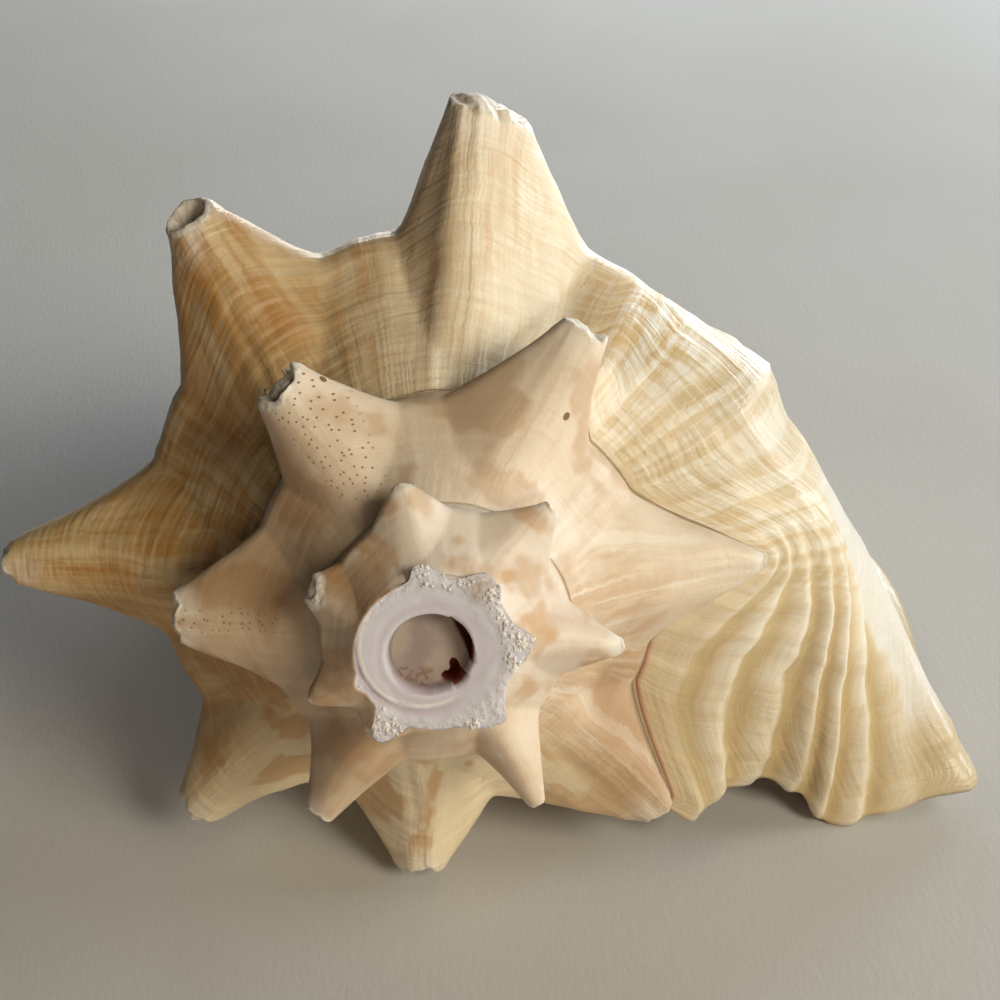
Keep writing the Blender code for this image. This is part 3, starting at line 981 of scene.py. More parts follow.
@dataclass(frozen=True)
class Relief:
    """Heights and widths of what stands on the skin, in millimetres, degrees and places."""

    ridge_height: float = 1.9
    ridge_width: float = 0.107
    ridge_wander: float = 0.9
    cord_height: float = 0.20
    cord_width: float = 2.6
    band_height: float = 0.40
    band_length: float = 7.0
    growth_height: float = 0.15
    growth_length: float = 3.0
    horn_fold: float = 0.4
    uneven: float = 2.2
    layer_step: float = 0.6
    chip_depth: float = 0.7
    lip_wear: float = 0.8
    edge_grain: float = 0.9
    seed: float = 4.0

    def values(self) -> dict[str, float]:
        """Values of the tree's inputs, by the names of the sizes above."""
        return {name.replace("_", " ").title(): value for name, value in vars(self).items()}

    def folds(self, graph: Graph, read: dict[str, Signal]) -> Signal:
        """Ridges that run down the ramp of the lip like pleats, steep on one side.

        Args:
            graph: The graph of the tree.
            read: Its inputs by name.

        Returns:
            Their height as a share, from about -0.5 in a groove to 0.5 on a ridge.
        """
        along, place, wing = graph.traits(Trait.ALONG, Trait.PLACE, Trait.WING)
        slow = graph.grain(along / 46.0, place * 2.4, read["Seed"], 1.0)
        quick = graph.grain(along / 9.0, place * 5.0, read["Seed"] + 7.0, 1.0)
        wander = (slow - 0.5) * read["Ridge Wander"] + (quick - 0.5) * 0.34
        saw = (place / read["Ridge Width"] + wander).fraction()
        pleat = (saw / 0.68).least((1.0 - saw) / 0.32).ramp(0.0, 1.0) - 0.5
        ramp = wing.ramp(0.42, 0.72) * place.window(0.04, 0.14, 0.58, 0.74)
        shoulder = wing.ramp(0.5, 0.85) * place.window(0.55, 0.68, 0.86, 0.95)
        return pleat * (ramp + shoulder * 0.3)

    def bands(self, graph: Graph, read: dict[str, Signal]) -> Signal:
        """Growth bands, cords that cross them, and creases toward the horn tips.

        Args:
            graph: The graph of the tree.
            read: Its inputs by name.

        Returns:
            Their height in millimetres.
        """
        grown, girth = graph.growth_lines()
        seed = read["Seed"]
        first = 1.0 - graph.trait(Trait.TURN).ramp(0.82, 1.1)
        cord = graph.grain(grown / 40.0, girth / read["Cord Width"], seed, 1.0)
        beat = graph.grain(grown / read["Band Length"], girth / 70.0, seed + 3.0, 1.0)
        tick = graph.grain(grown / read["Growth Length"], girth / 40.0, seed, 1.0)
        crease = graph.grain(grown / 8.0, girth / 60.0, seed + 5.0, 0.5)
        crease = (crease.ramp(0.35, 0.65) - 0.5) * read["Horn Fold"]
        crease = crease * graph.trait(Trait.HORN).ramp(0.12, 0.5) * (0.4 + 0.6 * first)
        height = (beat.ramp(0.3, 0.7) - 0.5) * read["Band Height"] * (0.3 + 0.7 * first)
        height = height + (tick.ramp(0.3, 0.7) - 0.5) * read["Growth Height"] * (0.2 + 0.8 * first)
        height = height + (cord.ramp(0.3, 0.7) - 0.5) * read["Cord Height"] * (0.25 + 0.75 * first)
        return height + crease

    def tree(self) -> tuple[Graph, dict[str, str]]:
        """Build the tree that raises the relief.

        Returns:
            The graph and the identifiers of its inputs by name.
        """
        inputs = {label: "NodeSocketFloat" for label in self.values()}
        graph, read, names = new_tree("shell_relief", {**inputs, "Material": "NodeSocketMaterial"})
        chip, horn, broken = graph.traits(Trait.CHIP, Trait.HORN, Trait.BROKEN)
        outside = (1.0 - graph.trait(Trait.GLAZE)) * (1.0 - broken)
        bare = bare_layer(graph)
        folds = self.folds(graph, read)
        height = (folds * read["Ridge Height"] + self.bands(graph, read)) * (1.0 - bare * 0.8)
        lumps = (graph.cloud(48.0, 1.5) - 0.5) * (1.0 - horn.ramp(0.8, 1.0) * 0.7)
        height = height + lumps * read["Uneven"] - bare * read["Layer Step"]
        crumble = (graph.cloud(420.0) - 0.5) * read["Chip Depth"]
        margin = graph.trait(Trait.WING).ramp(0.965, 1.0) * (graph.cloud(160.0) - 0.5)
        grains = (graph.cloud(620.0, 2.0, 0.6) - 0.5) * read["Edge Grain"]
        rough = broken * graph.trait(Trait.ACROSS).ramp(10.8, 13.0) * grains
        total = (height * (1.0 - chip) + chip * crumble + margin * read["Lip Wear"]) * outside + rough
        even = graph.add("GeometryNodeBlurAttribute", {"data_type": "FLOAT_VECTOR"},
                         {"Value": graph.add("GeometryNodeInputNormal"), "Iterations": 3})
        shift = graph.add("ShaderNodeVectorMath", {"operation": "SCALE"},
                          {0: even, "Scale": total * METRES})
        moved = graph.add("GeometryNodeSetPosition", None,
                          {"Geometry": read["Geometry"], "Offset": shift})
        kept = graph.add("GeometryNodeStoreNamedAttribute", {"data_type": "FLOAT", "domain": "POINT"},
                         {"Geometry": moved, "Name": Trait.FOLD.value, "Value": folds})
        end_tree(graph, kept, read["Material"])
        return graph, names


@dataclass(frozen=True)
class Rest:
    """How the shell lies: tilt in degrees, middle of the outline and level of the floor."""

    tilt: float = 20.0
    middle: tuple[float, float] = (15.55, 112.45)
    floor: float = -79.4577

    def place(self, points: np.ndarray) -> np.ndarray:
        """Turn shell coordinates to the frame's.

        Args:
            points: Points in millimetres.

        Returns:
            The points in metres.
        """
        tilt = math.radians(self.tilt)
        x = points[:, 0] - self.middle[0]
        y = points[:, 1] * math.sin(tilt) - points[:, 2] * math.cos(tilt) - self.middle[1]
        z = points[:, 1] * math.cos(tilt) + points[:, 2] * math.sin(tilt) - self.floor
        return np.stack([x, y, z], axis=1) * METRES


@dataclass(frozen=True)
class ApexBreak:
    """The broken apex: a tilted face with a hole into the next whorl below.

    Lengths are in millimetres from the middle of the break and angles in radians, but for the
    spiral's turn, rate and fade, which are in degrees. The face's lift is its height and the share of
    the way inward where it starts to fall and over which it falls, and its groove is its depth, its
    share of the way inward and its width. Waves of the hole are a share, a count and a phase.
    """

    middle: tuple[float, float] = (0.0, -1.5)
    level: float = -17.9
    slope: tuple[float, float] = (-0.07, 0.10)
    hole: float = 7.7
    hole_waves: tuple[tuple[float, float, float], ...] = ((0.03, 3.0, 1.0), (0.015, 8.0, 0.0))
    bowl: float = 4.2
    bowl_slant: tuple[float, float] = (0.10, 0.16)
    bowl_wall: float = 0.2
    gap_turn: float = 0.45
    gap_width: float = 0.68
    gap_reach: tuple[float, float] = (0.8, 1.5)
    pit: float = 9.0
    pit_place: tuple[float, float] = (4.6, -4.9)
    pit_radius: float = 2.1
    pit_waves: tuple[float, float, float] = (0.34, 4.0, 0.6)
    spiral_start: float = -0.7
    spiral_radius: float = 9.3
    spiral_growth: float = 2.4
    spiral_rate: float = 130.0
    spiral_fade: float = 40.0
    spiral_turn: float = 170.0
    spiral_step: float = 0.5
    steps: int = 240
    face_rings: int = 16
    face_start: float = 0.35
    face_lift: tuple[float, float, float] = (0.22, 0.55, 0.3)
    face_groove: tuple[float, float, float] = (0.06, 0.72, 0.09)
    bowl_shares: tuple[float, ...] = (0.985, 0.96, 0.93, 0.9, 0.87, 0.84, 0.81, 0.78, 0.75, 0.72, 0.69,
                                      0.65, 0.61, 0.57, 0.53, 0.49, 0.44, 0.38, 0.3, 0.2, 0.1)

    def plane(self, across: np.ndarray, up: np.ndarray) -> np.ndarray:
        """Height of the plain broken face."""
        return self.level + self.slope[0] * across + self.slope[1] * up

    def sink(self, across: np.ndarray, up: np.ndarray) -> tuple[np.ndarray, np.ndarray]:
        """Depth of the bowl and of the gaps beside it.

        Args:
            across: Places across the break, from its middle.
            up: Places up the break, from its middle.

        Returns:
            The depth at each place, and how far it lies in a gap.
        """
        distance = np.hypot(across, up)
        turn = np.arctan2(up, across)
        sunk = ease((self.hole - distance) / (self.bowl_wall * self.hole))
        slant = self.bowl + self.bowl_slant[0] * across + self.bowl_slant[1] * up
        arch = 1.0 - ((turn - self.gap_turn) / self.gap_width) ** 2
        middle = self.hole - self.gap_reach[0] - self.gap_reach[1] * arch
        gap = ease((distance - middle) / 0.5) * (np.abs(turn - self.gap_turn) < self.gap_width)
        aside = across - self.pit_place[0]
        above = up - self.pit_place[1]
        share, count, phase = self.pit_waves
        star = self.pit_radius * (1.0 + share * np.sin(count * np.arctan2(above, aside) + phase))
        pit = ease((star - np.hypot(aside, above)) / 0.5)
        gap = np.maximum(gap, pit) * np.minimum(sunk * 4.0, 1.0)
        return slant * sunk + (self.pit - self.bowl) * gap, gap

    def spiral(self, across: np.ndarray, up: np.ndarray) -> tuple[np.ndarray, np.ndarray]:
        """Line where the broken inner whorl meets the outer one.

        Args:
            across: Places across the break, from its middle.
            up: Places up the break, from its middle.

        Returns:
            The distance beyond the line and how far the line is there, 0 to 1.
        """
        back = (math.degrees(self.spiral_start) - np.degrees(np.arctan2(up, across))) % 360.0
        radius = self.spiral_radius + self.spiral_growth * (back / self.spiral_rate) ** 1.5
        there = ease(back / self.spiral_fade) * (1.0 - ease((back - self.spiral_turn) / self.spiral_fade))
        return np.hypot(across, up) - radius, there

    def cut(self, work: bmesh.types.BMesh) -> None:
        """Take the apex off a closed skin and close it with the broken face and the bowl.

        Args:
            work: The mesh of the skin.
        """
        geometry = list(work.verts) + list(work.edges) + list(work.faces)
        bmesh.ops.bisect_plane(
            work, geom=geometry, dist=1e-5, clear_outer=True,
            plane_co=(*self.middle, self.level), plane_no=(-self.slope[0], -self.slope[1], 1.0))
        loops = sorted(self.open_loops(work), key=len)
        layers = {trait: work.verts.layers.float[trait.value] for trait in Trait}
        for loop in loops[:-1]:
            face = work.faces.new(loop)
            bmesh.ops.triangulate(work, faces=[face])
        self.close(work, loops[-1], layers)

    def open_loops(self, work: bmesh.types.BMesh) -> list[list[bmesh.types.BMVert]]:
        """Walk the open edges.

        Args:
            work: The mesh.

        Returns:
            Each closed row of vertices, in order.
        """
        left = dict.fromkeys(edge for edge in work.edges if len(edge.link_faces) == 1)
        loops = []
        while left:
            edge = next(iter(left))
            del left[edge]
            loop = [edge.verts[0], edge.verts[1]]
            while loop[-1] != loop[0]:
                edge = next(e for e in loop[-1].link_edges if e in left)
                del left[edge]
                loop.append(edge.other_vert(loop[-1]))
            loops.append(loop[:-1])
        return loops

    def face_ring(self, index: int, outline: np.ndarray, hole: np.ndarray,
                  even: np.ndarray) -> tuple[np.ndarray, dict[Trait, np.ndarray]]:
        """One ring of the broken face or of the bowl.

        Args:
            index: Number of the ring, from the outline inward.
            outline: Radii of the outline.
            hole: Radii of the bowl's edge.
            even: Angles of the ring's points.

        Returns:
            The points in shell coordinates, and their traits.
        """
        if index < self.face_rings:
            share = (index + self.face_start) / self.face_rings
            radius = outline + (hole - outline) * share
            height, fall, span = self.face_lift
            groove, at, width = self.face_groove
            lift = height * (1.0 - ease((share - fall) / span))
            lift = (lift - groove * np.exp(-((share - at) / width) ** 2)) * ease(share * 4.0)
            depth = gap = np.zeros_like(radius)
        else:
            radius = hole * self.bowl_shares[index - self.face_rings]
            lift = 0.0
            depth, gap = self.sink(radius * np.cos(even), radius * np.sin(even))
        x = radius * np.cos(even)
        y = radius * np.sin(even)
        beyond, there = self.spiral(x, y)
        lift = lift - self.spiral_step * there * ease(beyond / 0.5) * ease((3.0 - beyond) / 3.0)
        mauve = ease(beyond / 0.3) * ease((2.4 - beyond) / 2.2)
        pale = ease((beyond + 1.0) / 0.5) * ease(-beyond / 0.3)
        stain = ease(-y - 2.6) * ease(1.2 - x) * ease((radius - 3.4) / 0.8) * (index > self.face_rings)
        points = [self.middle[0] + x, self.middle[1] + y, self.plane(x, y) + lift - depth]
        return np.stack(points, axis=1), {
            Trait.BROKEN: np.ones_like(radius),
            Trait.HOLLOW: np.minimum(1.0, depth / self.pit),
            Trait.ACROSS: radius,
            Trait.SPIRAL: (mauve - pale) * there + stain - gap,
        }

    def close(self, work: bmesh.types.BMesh, loop: list[bmesh.types.BMVert],
              layers: dict[Trait, Any]) -> None:
        """Fill the open apex with rings from its outline to the bottom of the bowl.

        Args:
            work: The mesh.
            loop: Vertices of the outline.
            layers: The mesh's layer for each trait.
        """
        rim = np.array([(*v.co,) for v in loop])
        across = rim[:, 0] - self.middle[0]
        up = rim[:, 1] - self.middle[1]
        if np.sum(across * np.roll(up, -1) - up * np.roll(across, -1)) < 0.0:
            loop, across, up = loop[::-1], across[::-1], up[::-1]
        turn = np.unwrap(np.arctan2(up, across))
        turn = np.maximum.accumulate(turn) + np.arange(len(turn)) * 1e-9
        reach = np.hypot(across, up)
        at = np.append(turn, turn[0] + 2.0 * math.pi)
        even = turn[0] + 2.0 * math.pi * np.arange(self.steps) / self.steps
        outline = np.interp(even, at, np.append(reach, reach[0]))
        waves = sum(share * np.sin(count * even + phase) for share, count, phase in self.hole_waves)
        hole = self.hole * (1.0 + waves)
        previous = None
        for index in range(self.face_rings + len(self.bowl_shares)):
            points, traits = self.face_ring(index, outline, hole, even)
            ring = [work.verts.new(point) for point in points]
            for trait, values in traits.items():
                for vertex, value in zip(ring, values.tolist()):
                    vertex[layers[trait]] = value
            if previous is None:
                self.zip_rings(work, loop, turn, ring, even)
            else:
                for k in range(self.steps):
                    after = (k + 1) % self.steps
                    work.faces.new((previous[k], previous[after], ring[after], ring[k]))
            previous = ring
        deepest = float(self.sink(np.zeros(1), np.zeros(1))[0][0])
        bottom = work.verts.new((*self.middle, self.level - deepest))
        bottom[layers[Trait.BROKEN]] = 1.0
        bottom[layers[Trait.HOLLOW]] = self.bowl / self.pit
        for k in range(self.steps):
            work.faces.new((previous[k], previous[(k + 1) % self.steps], bottom))

    def zip_rings(self, work: bmesh.types.BMesh, outer: list, outer_at: np.ndarray, inner: list,
                  inner_at: np.ndarray) -> None:
        """Join two closed rings with different numbers of vertices.

        Args:
            work: The mesh.
            outer: Vertices of the outer ring.
            outer_at: Their rising angles.
            inner: Vertices of the inner ring, starting at the same angle.
            inner_at: Their rising angles.
        """
        full = 2.0 * math.pi
        first = np.append(outer_at, outer_at[0] + full)
        second = np.append(inner_at, inner_at[0] + full)
        i = 0
        j = 0
        while i < len(outer) or j < len(inner):
            a = outer[i % len(outer)]
            b = inner[j % len(inner)]
            if j >= len(inner) or (i < len(outer) and first[i + 1] <= second[j + 1]):
                i += 1
                work.faces.new((a, outer[i % len(outer)], b))
            else:
                j += 1
                work.faces.new((a, inner[j % len(inner)], b))


@dataclass
class ConchShell:
    """The shell: outer skin, lip, glazed inside and broken apex, as one closed mesh.

    Mouth depths are degrees of growth behind the margin. The insets of the canal and of the corner
    are each a start, a gain and the depth over which they gain it. A tip ring is its share of the
    width and of the drop. A dotted flank is its angle, width and share, and dotted_from is where on
    the profile it starts and over which length.
    """

    growth: Growth = Growth()
    relief: Relief = Relief()
    rest: Rest = Rest()
    apex: ApexBreak = ApexBreak()
    step: float = 1.0
    ramp_rows: int = 66
    edge_rows: int = 12
    body_rows: int = 28
    body_spacing: float = 1.15
    spire_rows: int = 32
    spire_edge_rows: int = 9
    mouth_depths: tuple[float, ...] = (0.0, 1.0, 2.5, 4.5, 7.0, 10.0, 13.5, 17.5, 22.0, 27.0, 32.5,
                                       38.5, 45.0, 52.0, 60.0, 69.0, 79.0, 90.0)
    cavity_step: float = 14.0
    cavity_end: float = 300.0
    cavity_shrink: float = 0.55
    parietal_lead: float = 4.0
    canal_short: tuple[float, float, float] = (0.04, 0.40, 120.0)
    canal_start: float = 1.2
    corner_low: tuple[float, float, float] = (0.03, 0.12, 60.0)
    corner_end: float = 0.5
    wall_span: tuple[float, float] = (0.02, 0.96)
    rim_bulge: float = 0.7
    fine_from: float = 0.88
    fine_cuts: int = 2
    tip_rings: tuple[tuple[float, float], ...] = ((0.93, 0.18), (0.8, 0.45), (0.6, 0.75), (0.3, 0.95))
    dotted: tuple[tuple[float, float, float], ...] = ((476.0, 9.0, 1.0), (541.0, 8.0, 0.4))
    dotted_from: tuple[float, float] = (0.12, 0.2)

    def places(self, ramp: int, edge: int, body: int) -> np.ndarray:
        """Profile places of a column.

        Args:
            ramp: Rows on the ramp.
            edge: Rows round the shoulder.
            body: Rows on the body, or 0 on the spire.

        Returns:
            The rising places.
        """
        start = self.growth.curve_start
        parts = [start * np.arange(ramp) / ramp, start + (1.0 - start) * np.arange(edge) / edge]
        down = np.arange(body + 1) / max(body, 1)
        return np.concatenate(parts + [1.0 + down ** self.body_spacing if body else np.array([1.0])])

    def lay(self, skin: Skin, angles: np.ndarray, places: np.ndarray) -> np.ndarray:
        """Lay a block of columns of the outer face.

        Args:
            skin: Where to lay it.
            angles: Growth angles of the columns.
            places: Profile places of the rows.

        Returns:
            Vertex numbers, one row for each column.
        """
        growth = self.growth
        points, near, chip = growth.skin(angles[:, None], places[None])
        steps = np.linalg.norm(np.diff(points, axis=1), axis=-1)
        across = np.concatenate([np.zeros((len(angles), 1)), np.cumsum(steps, axis=1)], axis=1)
        wing = np.clip((growth.wing - angles) / (growth.wing - growth.last), 0.0, 1.0)
        flank = sum(share * np.exp(-((angles - at) / width) ** 2) for at, width, share in self.dotted)
        below = ease((places - self.dotted_from[0]) / self.dotted_from[1])
        dots = flank[:, None] * below[None] * (1.0 - chip)
        return skin.add(points, turn=angles[:, None] / 360.0, place=places[None],
                        along=growth.along_at(angles)[:, None], across=across,
                        streak=growth.streak(angles[:, None], places[None]),
                        wing=wing[:, None], horn=near, chip=chip, dots=dots)

    def build_skin(self) -> Skin:
        """Lay out the whole closed skin, with its apex still on.

        Returns:
            The skin.
        """
        growth = self.growth
        skin = Skin()
        turn = round(360.0 / self.step)
        count = round((growth.first - growth.last) / self.step)
        angles = growth.last + self.step * np.arange(count, -1, -1)
        spire_places = self.places(self.spire_rows, self.spire_edge_rows, 0)
        body_places = self.places(self.ramp_rows, self.edge_rows, self.body_rows)
        spire = self.lay(skin, angles[:count - turn], spire_places)
        body = self.lay(skin, angles[count - turn:], body_places)
        suture = int(np.argmin(np.abs(body_places - 1.0)))
        columns = list(spire) + list(body)
        for number in range(turn, count + 1):
            before = columns[number - turn]
            columns[number][0] = before[-1] if len(before) == len(spire_places) else before[suture]
        for number in range(1, count + 1):
            left, right = columns[number - 1], columns[number]
            if len(left) == len(right):
                skin.weave(left, right)
            else:
                skin.stitch(left, spire_places, right[:suture + 1], body_places[:suture + 1])
        centre = int(skin.add(np.array([[0.0, 0.0, growth.apex_level]]))[0])
        skin.fan(np.array([column[0] for column in columns[:turn + 1]]), centre)
        skin.fan(columns[0][::-1], centre)
        self.close_tip(skin, columns[-1 - turn:])
        self.build_aperture(skin, columns, body_places, suture, turn)
        return skin

    def close_tip(self, skin: Skin, columns: list[np.ndarray]) -> None:
        """Close the siphonal tip with a low rounded end.

        Args:
            skin: Where to lay it.
            columns: Columns of the last whorl.
        """
        loop = np.array([column[-1] for column in columns] + [columns[0][-1]])
        points = skin.position(loop[:-1])
        middle = points.mean(axis=0)
        drop = np.array([0.0, 0.0, self.growth.tip_round])
        values = {trait.value: skin.value(trait, loop[:-1]) for trait in Trait}
        for share, sunk in self.tip_rings:
            inner = skin.add(middle + (points - middle) * share - drop * sunk, **values)
            inner = np.append(inner, inner[0])
            skin.weave(loop, inner)
            loop = inner
        centre = skin.add((middle - drop)[None], **{name: value[:1] for name, value in values.items()})
        skin.fan(loop, int(centre[0]))

    def build_aperture(self, skin: Skin, columns: list[np.ndarray], places: np.ndarray,
                       suture: int, turn: int) -> None:
        """Lay the rim of the lip and the glazed inside, back into the body whorl.

        Args:
            skin: Where to lay it.
            columns: All columns of the outer face.
            places: Profile places of a full column.
            suture: Row of the lower suture.
            turn: Columns in one turn.
        """
        growth = self.growth
        lip = columns[-1]
        wall = columns[-1 - turn][suture:][::-1]
        downs = (places[suture:] - 1.0)[::-1][:-1]
        ring = np.concatenate([lip, wall[:-1]])
        outer = skin.position(ring)
        depths = list(self.mouth_depths)
        while depths[-1] + self.cavity_step < self.cavity_end - growth.last:
            depths.append(depths[-1] + self.cavity_step)
        for depth in depths:
            angle = growth.last + depth
            short = self.canal_short[0] + self.canal_short[1] * ease(depth / self.canal_short[2])
            low = self.corner_low[0] + self.corner_low[1] * ease(depth / self.corner_low[2])
            inset = low * np.maximum(1.0 - places / self.corner_end, 0.0) ** 2
            canal = (places - self.canal_start) / (2.0 - self.canal_start)
            inset = inset - short * np.maximum(canal, 0.0) ** 1.5
            inside = growth.inner(angle, places + inset)
            wall_places = self.wall_span[0] + (self.wall_span[1] - short) * downs
            behind = growth.parietal(angle + 360.0 + self.parietal_lead, wall_places)
            points = np.concatenate([inside, behind])
            if depth == depths[-1]:
                middle = points.mean(axis=0)
                points = middle + (points - middle) * self.cavity_shrink
            wing = float(np.clip((growth.wing - angle) / (growth.wing - growth.last), 0.0, 1.0))
            values = {"turn": angle / 360.0, "along": float(growth.along_at(angle)), "wing": wing,
                      "place": np.concatenate([places, 1.0 + downs])}
            if depth == 0.0:
                before = np.array([[angle + growth.inner_step[0]]])
                ahead = growth.skin(np.array([[angle]]), places[None], False)[0][0]
                ahead = ahead - growth.skin(before, places[None], False)[0][0]
                ahead = ahead / np.linalg.norm(ahead, axis=-1, keepdims=True)
                bulge = np.concatenate([ahead, np.zeros_like(behind)]) * self.rim_bulge
                fade = np.concatenate([ease(places / 0.1) * ease((2.0 - places) / 0.1),
                                       np.zeros(len(behind))])[:, None]
                fresh = skin.add((outer + points) * 0.5 + bulge * fade, glaze=0.5, **values)
                self.join(skin, ring, fresh)
                ring = fresh
            fresh = skin.add(points, glaze=1.0, **values)
            self.join(skin, ring, fresh)
            ring = fresh
        middle = skin.position(ring).mean(axis=0)
        centre = int(skin.add(middle[None], glaze=1.0)[0])
        skin.fan(np.append(ring, ring[0]), centre)

    def join(self, skin: Skin, ring: np.ndarray, fresh: np.ndarray) -> None:
        """Join two closed rings with the same number of vertices."""
        skin.weave(np.append(ring, ring[0]), np.append(fresh, fresh[0]))

    def refine_horns(self, work: bmesh.types.BMesh) -> None:
        """Give the horn ends a finer mesh that follows the growth rule.

        Args:
            work: The mesh of the skin.
        """
        layers = {trait: work.verts.layers.float[trait.value] for trait in Trait}
        fine = {vertex for vertex in work.verts
                if vertex[layers[Trait.HORN]] > self.fine_from and not vertex[layers[Trait.GLAZE]]
                and vertex[layers[Trait.TURN]] * 360.0 > self.growth.wing}
        edges = dict.fromkeys(
            edge for face in work.faces if fine.issuperset(face.verts) for edge in face.edges)
        split = bmesh.ops.subdivide_edges(
            work, edges=list(edges), cuts=self.fine_cuts, use_grid_fill=True)
        fresh = list(dict.fromkeys(part for part in split["geom_inner"] + split["geom_split"]
                                   if isinstance(part, bmesh.types.BMVert)))
        angles = np.array([[vertex[layers[Trait.TURN]] * 360.0] for vertex in fresh])
        places = np.array([[vertex[layers[Trait.PLACE]]] for vertex in fresh])
        points, near, chip = self.growth.whorl(angles, places)
        for vertex, point, nearness, chipped in zip(fresh, points[:, 0], near[:, 0], chip[:, 0]):
            vertex.co = point
            vertex[layers[Trait.HORN]] = nearness
            vertex[layers[Trait.CHIP]] = chipped

    def build(self, material: bpy.types.Material) -> bpy.types.Object:
        """Build the finished shell.

        Args:
            material: What the shell is made of.

        Returns:
            The shell as one plain mesh at its place in the frame.
        """
        mesh = self.build_skin().to_mesh("horned_shell")
        work = bmesh.new()
        work.from_mesh(mesh)
        loose = [vertex for vertex in work.verts if not vertex.link_faces]
        bmesh.ops.delete(work, geom=loose, context="VERTS")
        self.refine_horns(work)
        bmesh.ops.recalc_face_normals(work, faces=work.faces)
        self.apex.cut(work)
        bmesh.ops.recalc_face_normals(work, faces=work.faces)
        bmesh.ops.triangulate(work, faces=[face for face in work.faces if len(face.verts) > 4])
        points = self.rest.place(np.array([vertex.co for vertex in work.verts]))
        for vertex, point in zip(work.verts, points.tolist()):
            vertex.co = point
        work.to_mesh(mesh)
        work.free()
        mesh.shade_smooth()
        shell = add_object("horned_shell", mesh)
        graph, names = self.relief.tree()
        run_tree(shell, graph, names, {**self.relief.values(), "Material": material})
        self.wear_flat(shell.data)
        return shell

    def wear_flat(self, mesh: bpy.types.Mesh) -> None:
        """Wear the resting points flat on the floor.

        Args:
            mesh: The mesh of the shell.
        """
        points = np.empty(len(mesh.vertices) * 3)
        mesh.vertices.foreach_get("co", points)
        points[2::3] = np.maximum(points[2::3], 0.0)
        mesh.vertices.foreach_set("co", points)
        mesh.update()


